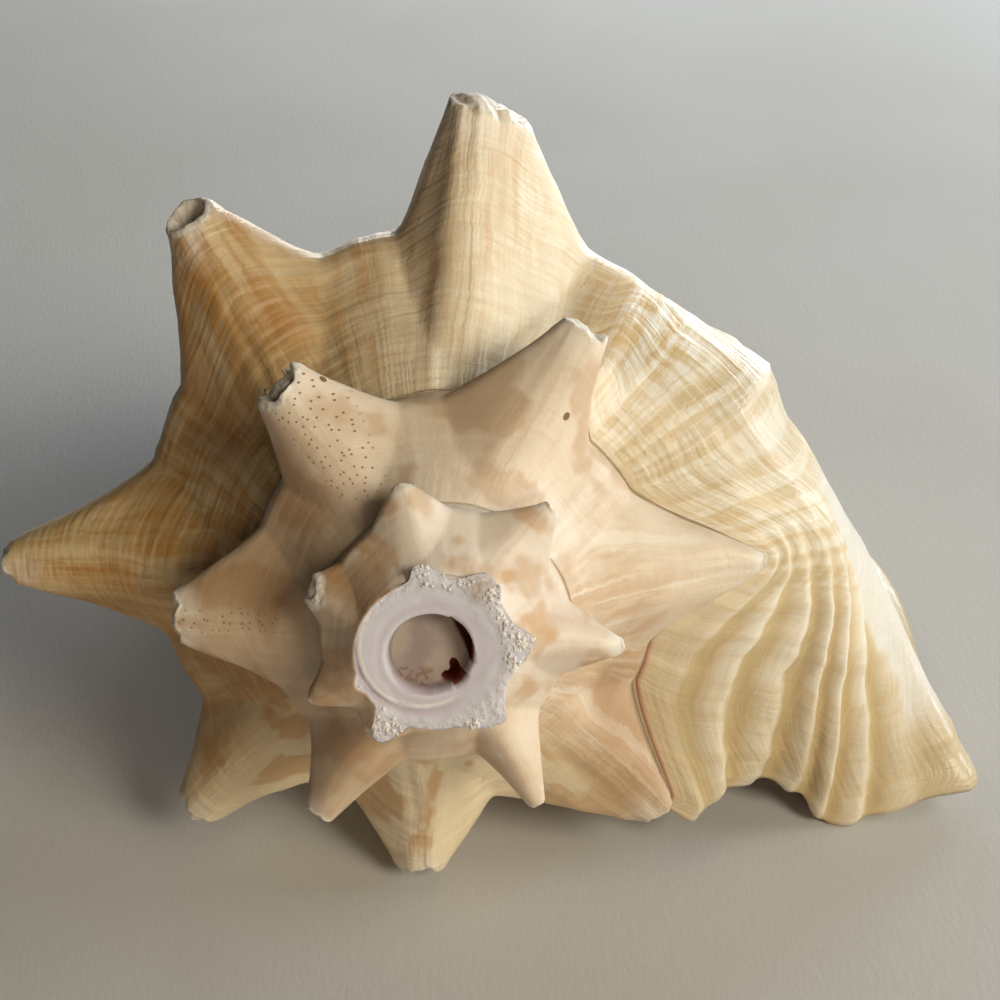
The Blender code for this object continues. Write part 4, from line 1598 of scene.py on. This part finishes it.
@dataclass(frozen=True)
class ShellFinish:
    """Colours and gloss of the shell."""

    cream: Colour = (0.88, 0.77, 0.56)
    tan: Colour = (0.66, 0.47, 0.24)
    amber: Colour = (0.60, 0.33, 0.11)
    brown: Colour = (0.36, 0.20, 0.08)
    honey: Colour = (0.70, 0.48, 0.20)
    rusty: Colour = (0.62, 0.38, 0.18)
    fawn: Colour = (0.64, 0.46, 0.30)
    shade: Colour = (0.50, 0.43, 0.36)
    # Golden multiply for the far side of the body whorl: partly its own warmer colour, partly painted shade
    golden_tint: Colour = (0.81, 0.73, 0.58)
    # Brownish multiply that paints shade on the far sides of the upper whorls
    brown_tint: Colour = (0.74, 0.66, 0.57)
    flank_tint: Colour = (0.82, 0.78, 0.70)
    buff: Colour = (0.85, 0.74, 0.60)
    pale_buff: Colour = (0.83, 0.74, 0.64)
    lip_cream: Colour = (0.86, 0.80, 0.66)
    lip_tan: Colour = (0.72, 0.57, 0.34)
    # Olive of the lip's grooves: partly its own colour, partly painted shade
    lip_olive: Colour = (0.66, 0.52, 0.28)
    pearl: Colour = (0.94, 0.91, 0.82)
    chalk: Colour = (0.82, 0.78, 0.71)
    pale_chalk: Colour = (0.80, 0.80, 0.77)
    white: Colour = (0.93, 0.91, 0.90)
    lilac: Colour = (0.70, 0.70, 0.80)
    mauve: Colour = (0.58, 0.48, 0.58)
    # Dark grey-mauve of the bowl: painted shade on its pale cream floor
    bowl: Colour = (0.31, 0.25, 0.24)
    rust: Colour = (0.27, 0.055, 0.03)
    hole: Colour = (0.22, 0.11, 0.04)
    pink: Colour = (0.84, 0.46, 0.36)
    holes: tuple[tuple[float, float], ...] = ((469.0, 0.79), (413.8, 0.515))
    hole_radii: tuple[float, float] = (0.65, 0.9)
    # Middle and radii of a darker patch on the broken face, in shell millimetres
    smudge: tuple[float, float, float] = (8.4, 10.4, -17.4)
    smudge_radii: tuple[float, float] = (1.2, 3.2)
    dot_spacing: tuple[float, float] = (1.75, 1.65)
    satin: float = 0.46
    glossy: float = 0.14
    dull: float = 0.85
    subsurface: float = 0.10
    subsurface_scale: float = 0.004
    subsurface_radius: tuple[float, float, float] = (1.0, 0.5, 0.25)
    coat_roughness: float = 0.12

    def make(self) -> bpy.types.Material:
        """Material of the shell, from the traits of its skin."""
        return make_material("shell_horned", self.inputs)

    def inputs(self, graph: Graph) -> dict[str, Any]:
        """Inputs of the shader.

        Args:
            graph: The material's graph.

        Returns:
            Values or signals by name.
        """
        glaze, broken, chip, wing = graph.traits(Trait.GLAZE, Trait.BROKEN, Trait.CHIP, Trait.WING)
        crust = graph.cloud(900.0, 3.0, 0.6)
        colour = graph.coats(
            self.growth_colour(graph),
            (self.pin_holes(graph), self.hole),
            (chip, self.chalk),
            (chip * crust.ramp(0.5, 0.65) * 0.8, self.pearl),
            (chip * graph.cloud(330.0).ramp(0.5, 0.6) * 0.6, self.shade),
            (broken, self.break_colour(graph, crust)),
            (glaze.ramp(0.2, 0.5) * 0.5, self.pearl),
            (glaze.ramp(0.5, 0.9), graph.mix(wing.ramp(0.75, 1.0) * 0.65, self.pink, self.lip_cream)),
        )
        return {
            "Base Color": colour,
            "Roughness": self.roughness(graph),
            "Coat Weight": glaze * 0.5 + wing.ramp(0.2, 0.5) * 0.15 * (1.0 - chip) * (1.0 - broken),
            "Normal": self.fine_relief(graph, crust),
            "Coat Roughness": self.coat_roughness,
            "Subsurface Weight": self.subsurface,
            "Subsurface Scale": self.subsurface_scale,
            "Subsurface Radius": self.subsurface_radius,
        }

    def growth_colour(self, graph: Graph) -> Signal:
        """Colour of the grown outer face, laid on from the oldest whorl's ground to the lip.

        Args:
            graph: The material's graph.

        Returns:
            The colour.
        """
        place, turn, wing = graph.traits(Trait.PLACE, Trait.TURN, Trait.WING)
        fold, horn, length = graph.traits(Trait.FOLD, Trait.HORN, Trait.STREAK)
        grown, girth = graph.growth_lines()
        first_whorl = 1.0 - turn.ramp(0.84, 0.90)
        second_whorl = turn.window(0.84, 0.90, 1.84, 1.92)
        spire = turn.ramp(1.84, 1.92)
        near_lip = turn.window(0.84, 0.88, 1.02, 1.13)
        far_side = turn.ramp(0.2, 0.36)
        upper = wing.ramp(0.0, 0.16)
        lip = wing.ramp(0.44, 0.68)
        netted = upper * (1.0 - wing.ramp(0.5, 0.72)) * place.window(0.0, 0.06, 1.3, 1.8)
        golden = wing.window(0.0, 0.03, 0.17, 0.30) * place.window(0.2, 0.4, 0.9, 1.1)
        patch = graph.cloud(26.0)
        mottle = graph.cloud(95.0)
        blotch = graph.grain(grown / 11.0, girth / 15.0)
        streak = graph.grain(grown / 2.9, girth / 30.0, 1.0, 3.0, 0.55)
        stroke = graph.grain(grown / 3.0, girth / 6.0, 4.0)
        cord = graph.grain(grown / 12.0, girth / 1.45, 5.0, 1.0)
        band = graph.grain((length + (graph.cloud(48.0, 1.0) - 0.5) * 3.0) / 3.2, girth / 70.0, 8.0)
        fine = graph.grain(grown / 0.9, girth / 9.0, 2.0)
        tone = streak * 0.5 + blotch * 0.3 + patch * 0.2 + (cord - 0.5) * 0.10
        body = first_whorl * (1.0 - upper)
        colour = graph.coats(
            self.cream,
            # Tan and amber weigh more on the far side of the body whorl: partly its own colour, partly
            # painted shade
            (tone.ramp(0.42, 0.56) * first_whorl * (0.55 + 0.4 * far_side), self.tan),
            (tone.ramp(0.50, 0.63) * first_whorl * (0.6 + 0.3 * far_side), self.amber),
            (first_whorl * far_side * (0.2 + 0.25 * blotch.ramp(0.4, 0.6)), self.amber),
            (second_whorl, self.buff),
            (second_whorl * tone.ramp(0.44, 0.66) * 0.55, self.fawn),
            (second_whorl * turn.window(1.0, 1.1, 1.7, 1.9) * mottle.ramp(0.5, 0.6) * 0.7, self.fawn),
            (near_lip * stroke.ramp(0.45, 0.64) * patch.ramp(0.34, 0.54) * 0.5, self.rusty),
            (turn.window(0.84, 0.86, 0.93, 0.99) * (0.25 + 0.5 * blotch.ramp(0.4, 0.6)), self.fawn),
            (second_whorl * patch.ramp(0.42, 0.6) * mottle.ramp(0.35, 0.6) * 0.6, self.fawn),
            (near_lip * streak.ramp(0.48, 0.38) * 0.4, self.pearl),
            (spire, self.pale_buff),
            (spire * tone.ramp(0.46, 0.66) * 0.4, self.fawn),
            (spire * mottle.ramp(0.5, 0.62) * 0.75, self.fawn),
            (spire * graph.cloud(150.0, 1.0).ramp(0.54, 0.66) * 0.6, self.rusty),
            (upper * 0.8, self.lip_cream),
            (netted * band.ramp(0.47, 0.56) * 0.7, self.lip_tan),
            (golden * (band * 0.5 + stroke * 0.5).ramp(0.44, 0.52) * 0.75, self.honey),
            (netted * band.ramp(0.47, 0.40) * cord.ramp(0.42, 0.52) * 0.85, self.pearl),
            (netted * cord.ramp(0.52, 0.60) * 0.45, self.pearl),
            (netted * cord.ramp(0.46, 0.38) * 0.3, self.lip_tan),
            # Olive in the grooves and pearl on the ridges of the lip: partly their own colours, partly
            # painted shade in the grooves and painted highlight on the ridges
            (lip * (0.2 - fold).ramp(0.0, 0.55) * 0.85, self.lip_olive),
            (lip * fold.ramp(0.12, 0.4) * 0.6, self.pearl),
            (lip * band.ramp(0.5, 0.62) * 0.3, self.lip_tan),
            (cord.ramp(0.48, 0.66) * body * 0.26, self.pearl),
            (cord.ramp(0.48, 0.40) * body * 0.22, self.tan),
            (first_whorl * turn.window(0.58, 0.64, 0.82, 0.9) * 0.9, self.cream),
            (first_whorl * turn.window(0.56, 0.62, 0.82, 0.88) * blotch.ramp(0.5, 0.58) * 0.6, self.amber),
            # Far side of the body whorl darkened and warmed: partly its own colour, partly painted shade
            (first_whorl * far_side * (1.0 - 0.95 * turn.ramp(0.58, 0.68)), self.golden_tint, "MULTIPLY"),
            # Near side of the body whorl lightened: partly its own paler colour, partly painted light
            (body * (1.0 - far_side) * 0.25, self.pearl),
            (place.ramp(0.92, 1.2) * first_whorl, self.flank_tint, "MULTIPLY"),
            (lip * wing.ramp(0.66, 0.86), self.flank_tint, "MULTIPLY"),
            (upper * wing.window(0.16, 0.26, 0.36, 0.46) * 0.7, self.flank_tint, "MULTIPLY"),
        )
        # Painted shade: the far sides of the second and third whorls, and a band of the second whorl behind
        # the lip, are darkened as if in shade
        shaded = (
            turn.window(1.28, 1.42, 1.66, 1.84),
            turn.window(2.3, 2.42, 2.62, 2.8),
            turn.window(0.84, 0.86, 0.94, 1.0) * place.window(0.3, 0.5, 1.0, 1.1),
        )
        chalky = graph.mix(graph.cloud(60.0).ramp(0.35, 0.65), self.chalk, self.pale_chalk)
        return graph.coats(
            colour,
            *((part, self.brown_tint, "MULTIPLY") for part in shaded),
            (fine.ramp(0.5, 0.72) * 0.06 * first_whorl, self.brown),
            (bare_layer(graph) * 0.85, chalky),
            # Whitened horn tips: partly worn white shell, partly painted highlight
            (horn.ramp(0.78, 1.0) * (0.1 + 0.5 * blotch.ramp(0.4, 0.6)), self.pearl),
            (horn.ramp(0.9, 1.0) * turn.window(0.94, 0.97, 1.04, 1.07), self.pearl),
            (horn.ramp(0.8, 1.0) * turn.window(1.92, 1.95, 2.02, 2.05), self.pearl),
            # Painted shade along the upper suture of the body whorl, under the whorl above
            ((1.0 - place.ramp(0.0, 0.04)) * 0.3 * first_whorl, self.brown),
            (self.seam(graph), self.rust),
        )

    def seam(self, graph: Graph) -> Signal:
        """Dark line where the lip meets the whorl before.

        Args:
            graph: The material's graph.

        Returns:
            How far each point lies in the line.
        """
        place, turn, wing, broken = graph.traits(Trait.PLACE, Trait.TURN, Trait.WING, Trait.BROKEN)
        width = 1.0 + 0.35 * wing.window(0.66, 0.8, 0.96, 1.0)
        line = 1.0 - (place / width).ramp(0.006, 0.017)
        return line * (1.0 - turn.ramp(-0.02, 0.1)) * (1.0 - broken)

    def pin_holes(self, graph: Graph) -> Signal:
        """Tiny brown holes on the flanks of two horns, and two larger ones.

        Args:
            graph: The material's graph.

        Returns:
            How far each point lies in a hole.
        """
        along, across, dotted = graph.traits(Trait.ALONG, Trait.ACROSS, Trait.DOTS)
        apart, above = self.dot_spacing
        spots = graph.add("ShaderNodeCombineXYZ", None, {0: along / apart, 1: across / above})
        dot = graph.add("ShaderNodeTexVoronoi", {"voronoi_dimensions": "2D"},
                        {"Vector": spots, "Scale": 1.0, "Randomness": 0.8}, "Distance")
        lot = graph.add("ShaderNodeSeparateColor", None, {0: dot.sibling("Color")})
        dots = (1.0 - dot.ramp(0.08, 0.17)) * dotted.ramp(0.15, 0.45)
        dots = dots * graph.math("GREATER_THAN", lot, 0.12) * 0.9
        for angle, place in self.holes:
            middle = Growth().skin(np.array([[angle]]), np.array([[place]]))[0][0, 0]
            dots = dots.most(self.spot(graph, middle, *self.hole_radii) * 0.95)
        return dots

    def spot(self, graph: Graph, middle: Sequence[float], inner: Number, outer: Number) -> Signal:
        """Soft round spot.

        Args:
            graph: The material's graph.
            middle: Middle of the spot in shell coordinates, in millimetres.
            inner: Radius up to which it is full.
            outer: Radius at which it ends.

        Returns:
            How far each point lies in the spot.
        """
        placed = tuple(Rest().place(np.array([middle]))[0].tolist())
        apart = graph.add("ShaderNodeVectorMath", {"operation": "DISTANCE"},
                          {0: graph.here(), 1: placed}, "Value")
        return 1.0 - (apart / METRES).ramp(inner, outer)

    def break_colour(self, graph: Graph, crust: Signal) -> Signal:
        """Colour of the broken apex and its bowl.

        Args:
            graph: The material's graph.
            crust: Fine grain.

        Returns:
            The colour.
        """
        across, hollow, spiral = graph.traits(Trait.ACROSS, Trait.HOLLOW, Trait.SPIRAL)
        flecks = hollow.window(0.2, 0.3, 0.56, 0.62) * spiral * graph.cloud(700.0).ramp(0.5, 0.58)
        return graph.coats(
            self.lilac,
            (across.window(8.0, 8.6, 9.2, 10.4) * (1.0 - hollow) * 0.35, self.mauve),
            (spiral.ramp(0.0, 1.0) * 0.75, self.mauve),
            (spiral.ramp(0.0, -1.0) * 0.7, self.white),
            # Darker patch on the upper right of the broken face
            (self.spot(graph, self.smudge, *self.smudge_radii) * 0.75, self.shade),
            (crust.ramp(0.5, 0.7) * across.ramp(11.5, 13.5) * 0.6, self.white),
            # Painted shade: the bowl is coloured dark, and darker still in cloudy patches deeper down
            (hollow.ramp(0.05, 0.3), self.bowl),
            (hollow.ramp(0.3, 0.4) * graph.cloud(130.0).ramp(0.4, 0.62) * 0.5, self.shade),
            (flecks * 0.6, self.hole),
            (hollow.ramp(0.02, 0.1) * spiral.ramp(-0.1, -0.4), self.rust),
        )

    def roughness(self, graph: Graph) -> Signal:
        """Roughness: glossy inside, satin outside, dull where it is broken.

        Args:
            graph: The material's graph.

        Returns:
            The roughness.
        """
        wing, chip, broken = graph.traits(Trait.WING, Trait.CHIP, Trait.BROKEN)
        satin = self.satin - 0.10 * wing.ramp(0.1, 0.5)
        satin = satin + (graph.cloud(180.0) - 0.5) * 0.3
        outer = satin + (self.dull - satin) * chip.most(broken * 0.8)
        return outer + (self.glossy - outer) * graph.trait(Trait.GLAZE)

    def fine_relief(self, graph: Graph, crust: Signal) -> Signal:
        """Growth lines, cords and grain too fine for the mesh.

        Args:
            graph: The material's graph.
            crust: Fine grain of the broken places.

        Returns:
            The normal.
        """
        glaze, broken, chip = graph.traits(Trait.GLAZE, Trait.BROKEN, Trait.CHIP)
        hollow, across, turn = graph.traits(Trait.HOLLOW, Trait.ACROSS, Trait.TURN)
        grown, girth = graph.growth_lines()
        ring = graph.grain(grown / 1.3, girth / 24.0, 2.0)
        cord = graph.grain(grown / 14.0, girth / 1.45, 5.0, 1.0)
        whole = (1.0 - glaze) * (1.0 - broken) * (1.0 - chip)
        relief = (ring * 0.18 + cord * 0.28) * whole * (1.0 - 0.65 * turn.ramp(0.84, 1.0))
        relief = relief + graph.cloud(1500.0) * 0.05 * (1.0 - glaze)
        worn = broken * (1.0 - hollow.ramp(0.0, 0.2) * 0.8)
        worn = worn * (0.06 + 0.94 * across.ramp(11.5, 13.5))
        return graph.bump(relief + crust * (0.3 * chip).most(0.5 * worn))


@dataclass(frozen=True)
class GrainFinish:
    """Chalky white of the crystal grains."""

    light: Colour = (0.94, 0.93, 0.92)
    grey: Colour = (0.72, 0.69, 0.68)

    def make(self) -> bpy.types.Material:
        """Material of the grains."""
        return make_material("grains_chalky", self.inputs)

    def inputs(self, graph: Graph) -> dict[str, Any]:
        """Inputs of the shader.

        Args:
            graph: The material's graph.

        Returns:
            Values or signals by name.
        """
        cloud = graph.cloud(700.0)
        return {
            "Base Color": graph.mix(cloud.ramp(0.4, 0.65), self.light, self.grey),
            "Roughness": 0.4 + cloud * 0.3,
            "Normal": graph.bump(graph.cloud(2500.0) * 0.2),
        }


@dataclass(frozen=True)
class CrystalGrains:
    """Grains that stand on the knobbly edge of the broken apex."""

    radius: float = 0.00050
    per_square_metre: float = 3200000.0
    least_size: tuple[float, float, float] = (0.4, 0.4, 0.3)
    most_size: tuple[float, float, float] = (1.3, 1.1, 1.0)
    most_turn: tuple[float, float, float] = (6.28, 6.28, 6.28)
    seed: int = 11

    def build(self, shell: bpy.types.Object, material: bpy.types.Material) -> bpy.types.Object:
        """Strew the grains over the edge of the break.

        Args:
            shell: The finished shell.
            material: What the grains are made of.

        Returns:
            All grains as one plain mesh.
        """
        grains = add_object("broken_edge_grains", shell.data.copy())
        graph, read, names = new_tree("grain_scatter", {
            "Radius": "NodeSocketFloat", "Density": "NodeSocketFloat", "Seed": "NodeSocketInt",
            "Material": "NodeSocketMaterial"})
        seed = read["Seed"]
        reach = graph.trait(Trait.ACROSS)
        edge = graph.trait(Trait.BROKEN) * (reach.ramp(13.6, 15.4) + reach.ramp(12.4, 13.2) * 0.22)
        density = read["Density"] * graph.cloud(170.0, 1.0).ramp(0.5, 0.57) * edge
        strewn = graph.add("GeometryNodeDistributePointsOnFaces", {"distribute_method": "RANDOM"},
                           {"Mesh": read["Geometry"], "Density": density, "Seed": seed}, "Points")
        grain = graph.add("GeometryNodeMeshIcoSphere", None,
                          {"Radius": read["Radius"], "Subdivisions": 1}, "Mesh")
        turn = graph.add("FunctionNodeRandomValue", {"data_type": "FLOAT_VECTOR"},
                         {"Max": self.most_turn, "Seed": seed}, "Value")
        size = graph.add("FunctionNodeRandomValue", {"data_type": "FLOAT_VECTOR"},
                         {"Min": self.least_size, "Max": self.most_size, "Seed": seed}, "Value")
        placed = graph.add("GeometryNodeInstanceOnPoints", None, {
            "Points": strewn, "Instance": grain, "Rotation": turn, "Scale": size})
        end_tree(graph, placed, read["Material"])
        run_tree(grains, graph, names, {"Radius": self.radius, "Density": self.per_square_metre,
                                        "Seed": self.seed, "Material": material})
        return grains


@dataclass(frozen=True)
class Table:
    """Pale table top with the faint grain of coated paper, turned up far behind as a backdrop."""

    rings: tuple[tuple[float, float], ...] = (
        (0.5, 0.0), (1.5, 0.0), (2.6, 0.0), (3.0, 0.03), (3.3, 0.12), (3.5, 0.28), (3.6, 0.5), (3.62, 0.75))
    sides: int = 96
    clearance: float = 0.00002
    pale: Colour = (0.58, 0.58, 0.578)
    warm: Colour = (0.56, 0.555, 0.545)
    grain_per_metre: tuple[float, float, float] = (900.0, 300.0, 900.0)

    def build(self) -> bpy.types.Object:
        """Build the table top just under the shell.

        Returns:
            The table top.
        """
        mesh = bpy.data.meshes.new("table_top")
        work = bmesh.new()
        turns = [2.0 * math.pi * k / self.sides for k in range(self.sides)]
        before = None
        for radius, height in self.rings:
            level = height - self.clearance
            ring = [work.verts.new((radius * math.cos(t), radius * math.sin(t), level)) for t in turns]
            if before is None:
                work.faces.new(ring)
            else:
                for k in range(self.sides):
                    work.faces.new((before[k - 1], ring[k - 1], ring[k], before[k]))
            before = ring
        work.to_mesh(mesh)
        work.free()
        mesh.shade_smooth()
        mesh.materials.append(make_material("paper_pale", self.inputs))
        return add_object("table_top", mesh)

    def inputs(self, graph: Graph) -> dict[str, Any]:
        """Inputs of the shader.

        Args:
            graph: The material's graph.

        Returns:
            Values or signals by name.
        """
        cloud = graph.cloud(9.0)
        wrinkle = graph.add("ShaderNodeVectorMath", {"operation": "MULTIPLY"},
                            {0: graph.here(), 1: self.grain_per_metre})
        return {
            "Base Color": graph.mix(cloud.ramp(0.35, 0.65), self.pale, self.warm),
            "Roughness": 0.8 + cloud * 0.1,
            "Specular IOR Level": 0.25,
            "Normal": graph.bump(graph.noise(wrinkle, 1.0, 3.0, 0.6) * 0.07),
        }


@dataclass(frozen=True)
class Lamp:
    """One soft lamp: its bearing and height in degrees, its power in watts and its colour."""

    name: str
    bearing: float
    height: float
    watts: float
    colour: Colour


@dataclass(frozen=True)
class Studio:
    """Camera at the photographed angle and a row of soft lamps like wide windows on the right."""

    lamps: tuple[Lamp, ...] = (
        Lamp("window_back", 90.0, 12.0, 7.5, (0.98, 1.0, 0.98)),
        Lamp("window_right", 55.0, 12.5, 9.2, (0.85, 0.94, 1.0)),
        Lamp("window_front", 8.0, 20.0, 7.3, (0.91, 0.97, 1.0)),
        Lamp("room_warm", -45.0, 35.0, 9.4, (1.0, 0.90, 0.70)),
        Lamp("room_low", -80.0, 18.0, 2.2, (1.0, 0.74, 0.5)),
    )
    lamp_distance: float = 1.3
    lamp_size: float = 0.55
    room: Colour = (1.0, 0.85, 0.68)
    room_strength: float = 0.01
    clip_start: float = 0.01
    camera_at: tuple[float, float, float] = (-0.01555, -0.31525, 0.25595)
    camera_pitch: float = 53.0
    lens: float = 61.2
    sensor: float = 36.0
    shift: tuple[float, float] = (0.0705, 0.0655)

    def build(self) -> None:
        """Set up the camera, the lights and the room."""
        scene = bpy.context.scene
        data = bpy.data.cameras.new("photo_camera")
        data.type = "PERSP"
        data.sensor_width = self.sensor
        data.lens = self.lens
        data.shift_x, data.shift_y = self.shift
        data.clip_start = self.clip_start
        camera = bpy.data.objects.new("photo_camera", data)
        camera.location = self.camera_at
        camera.rotation_euler = (math.radians(self.camera_pitch), 0.0, 0.0)
        scene.collection.objects.link(camera)
        scene.camera = camera
        for lamp in self.lamps:
            self.hang(lamp)
        world = bpy.data.worlds.new("room")
        world.use_nodes = True
        background = world.node_tree.nodes["Background"]
        background.inputs["Color"].default_value = (*self.room, 1.0)
        background.inputs["Strength"].default_value = self.room_strength
        scene.world = world
        scene.view_settings.view_transform = "Standard"
        scene.view_settings.look = "None"

    def hang(self, lamp: Lamp) -> None:
        """Hang one lamp, facing the shell.

        Args:
            lamp: The lamp.
        """
        data = bpy.data.lights.new(lamp.name, "AREA")
        data.shape = "DISK"
        data.size = self.lamp_size
        data.energy = lamp.watts
        data.color = lamp.colour
        light = bpy.data.objects.new(lamp.name, data)
        bearing = math.radians(lamp.bearing)
        height = math.radians(lamp.height)
        level = math.cos(height)
        away = Vector((level * math.cos(bearing), level * math.sin(bearing), math.sin(height)))
        light.location = away * self.lamp_distance
        light.rotation_euler = away.to_track_quat("Z", "Y").to_euler()
        bpy.context.scene.collection.objects.link(light)


def main() -> None:
    """Load the frame, dress it, and log the face counts of the shell and its grains."""
    logging.basicConfig(level=logging.INFO, format="%(message)s")
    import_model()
    Studio().build()
    table = Table().build()
    shell = ConchShell().build(ShellFinish().make())
    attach(shell, "root")
    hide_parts(NODE)
    LOG.info("%s: %d faces", shell.name, len(shell.data.polygons))
    grains = CrystalGrains().build(shell, GrainFinish().make())
    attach(grains, "root")
    LOG.info("%s: %d faces", grains.name, len(grains.data.polygons))


if __name__ == "__main__":
    main()
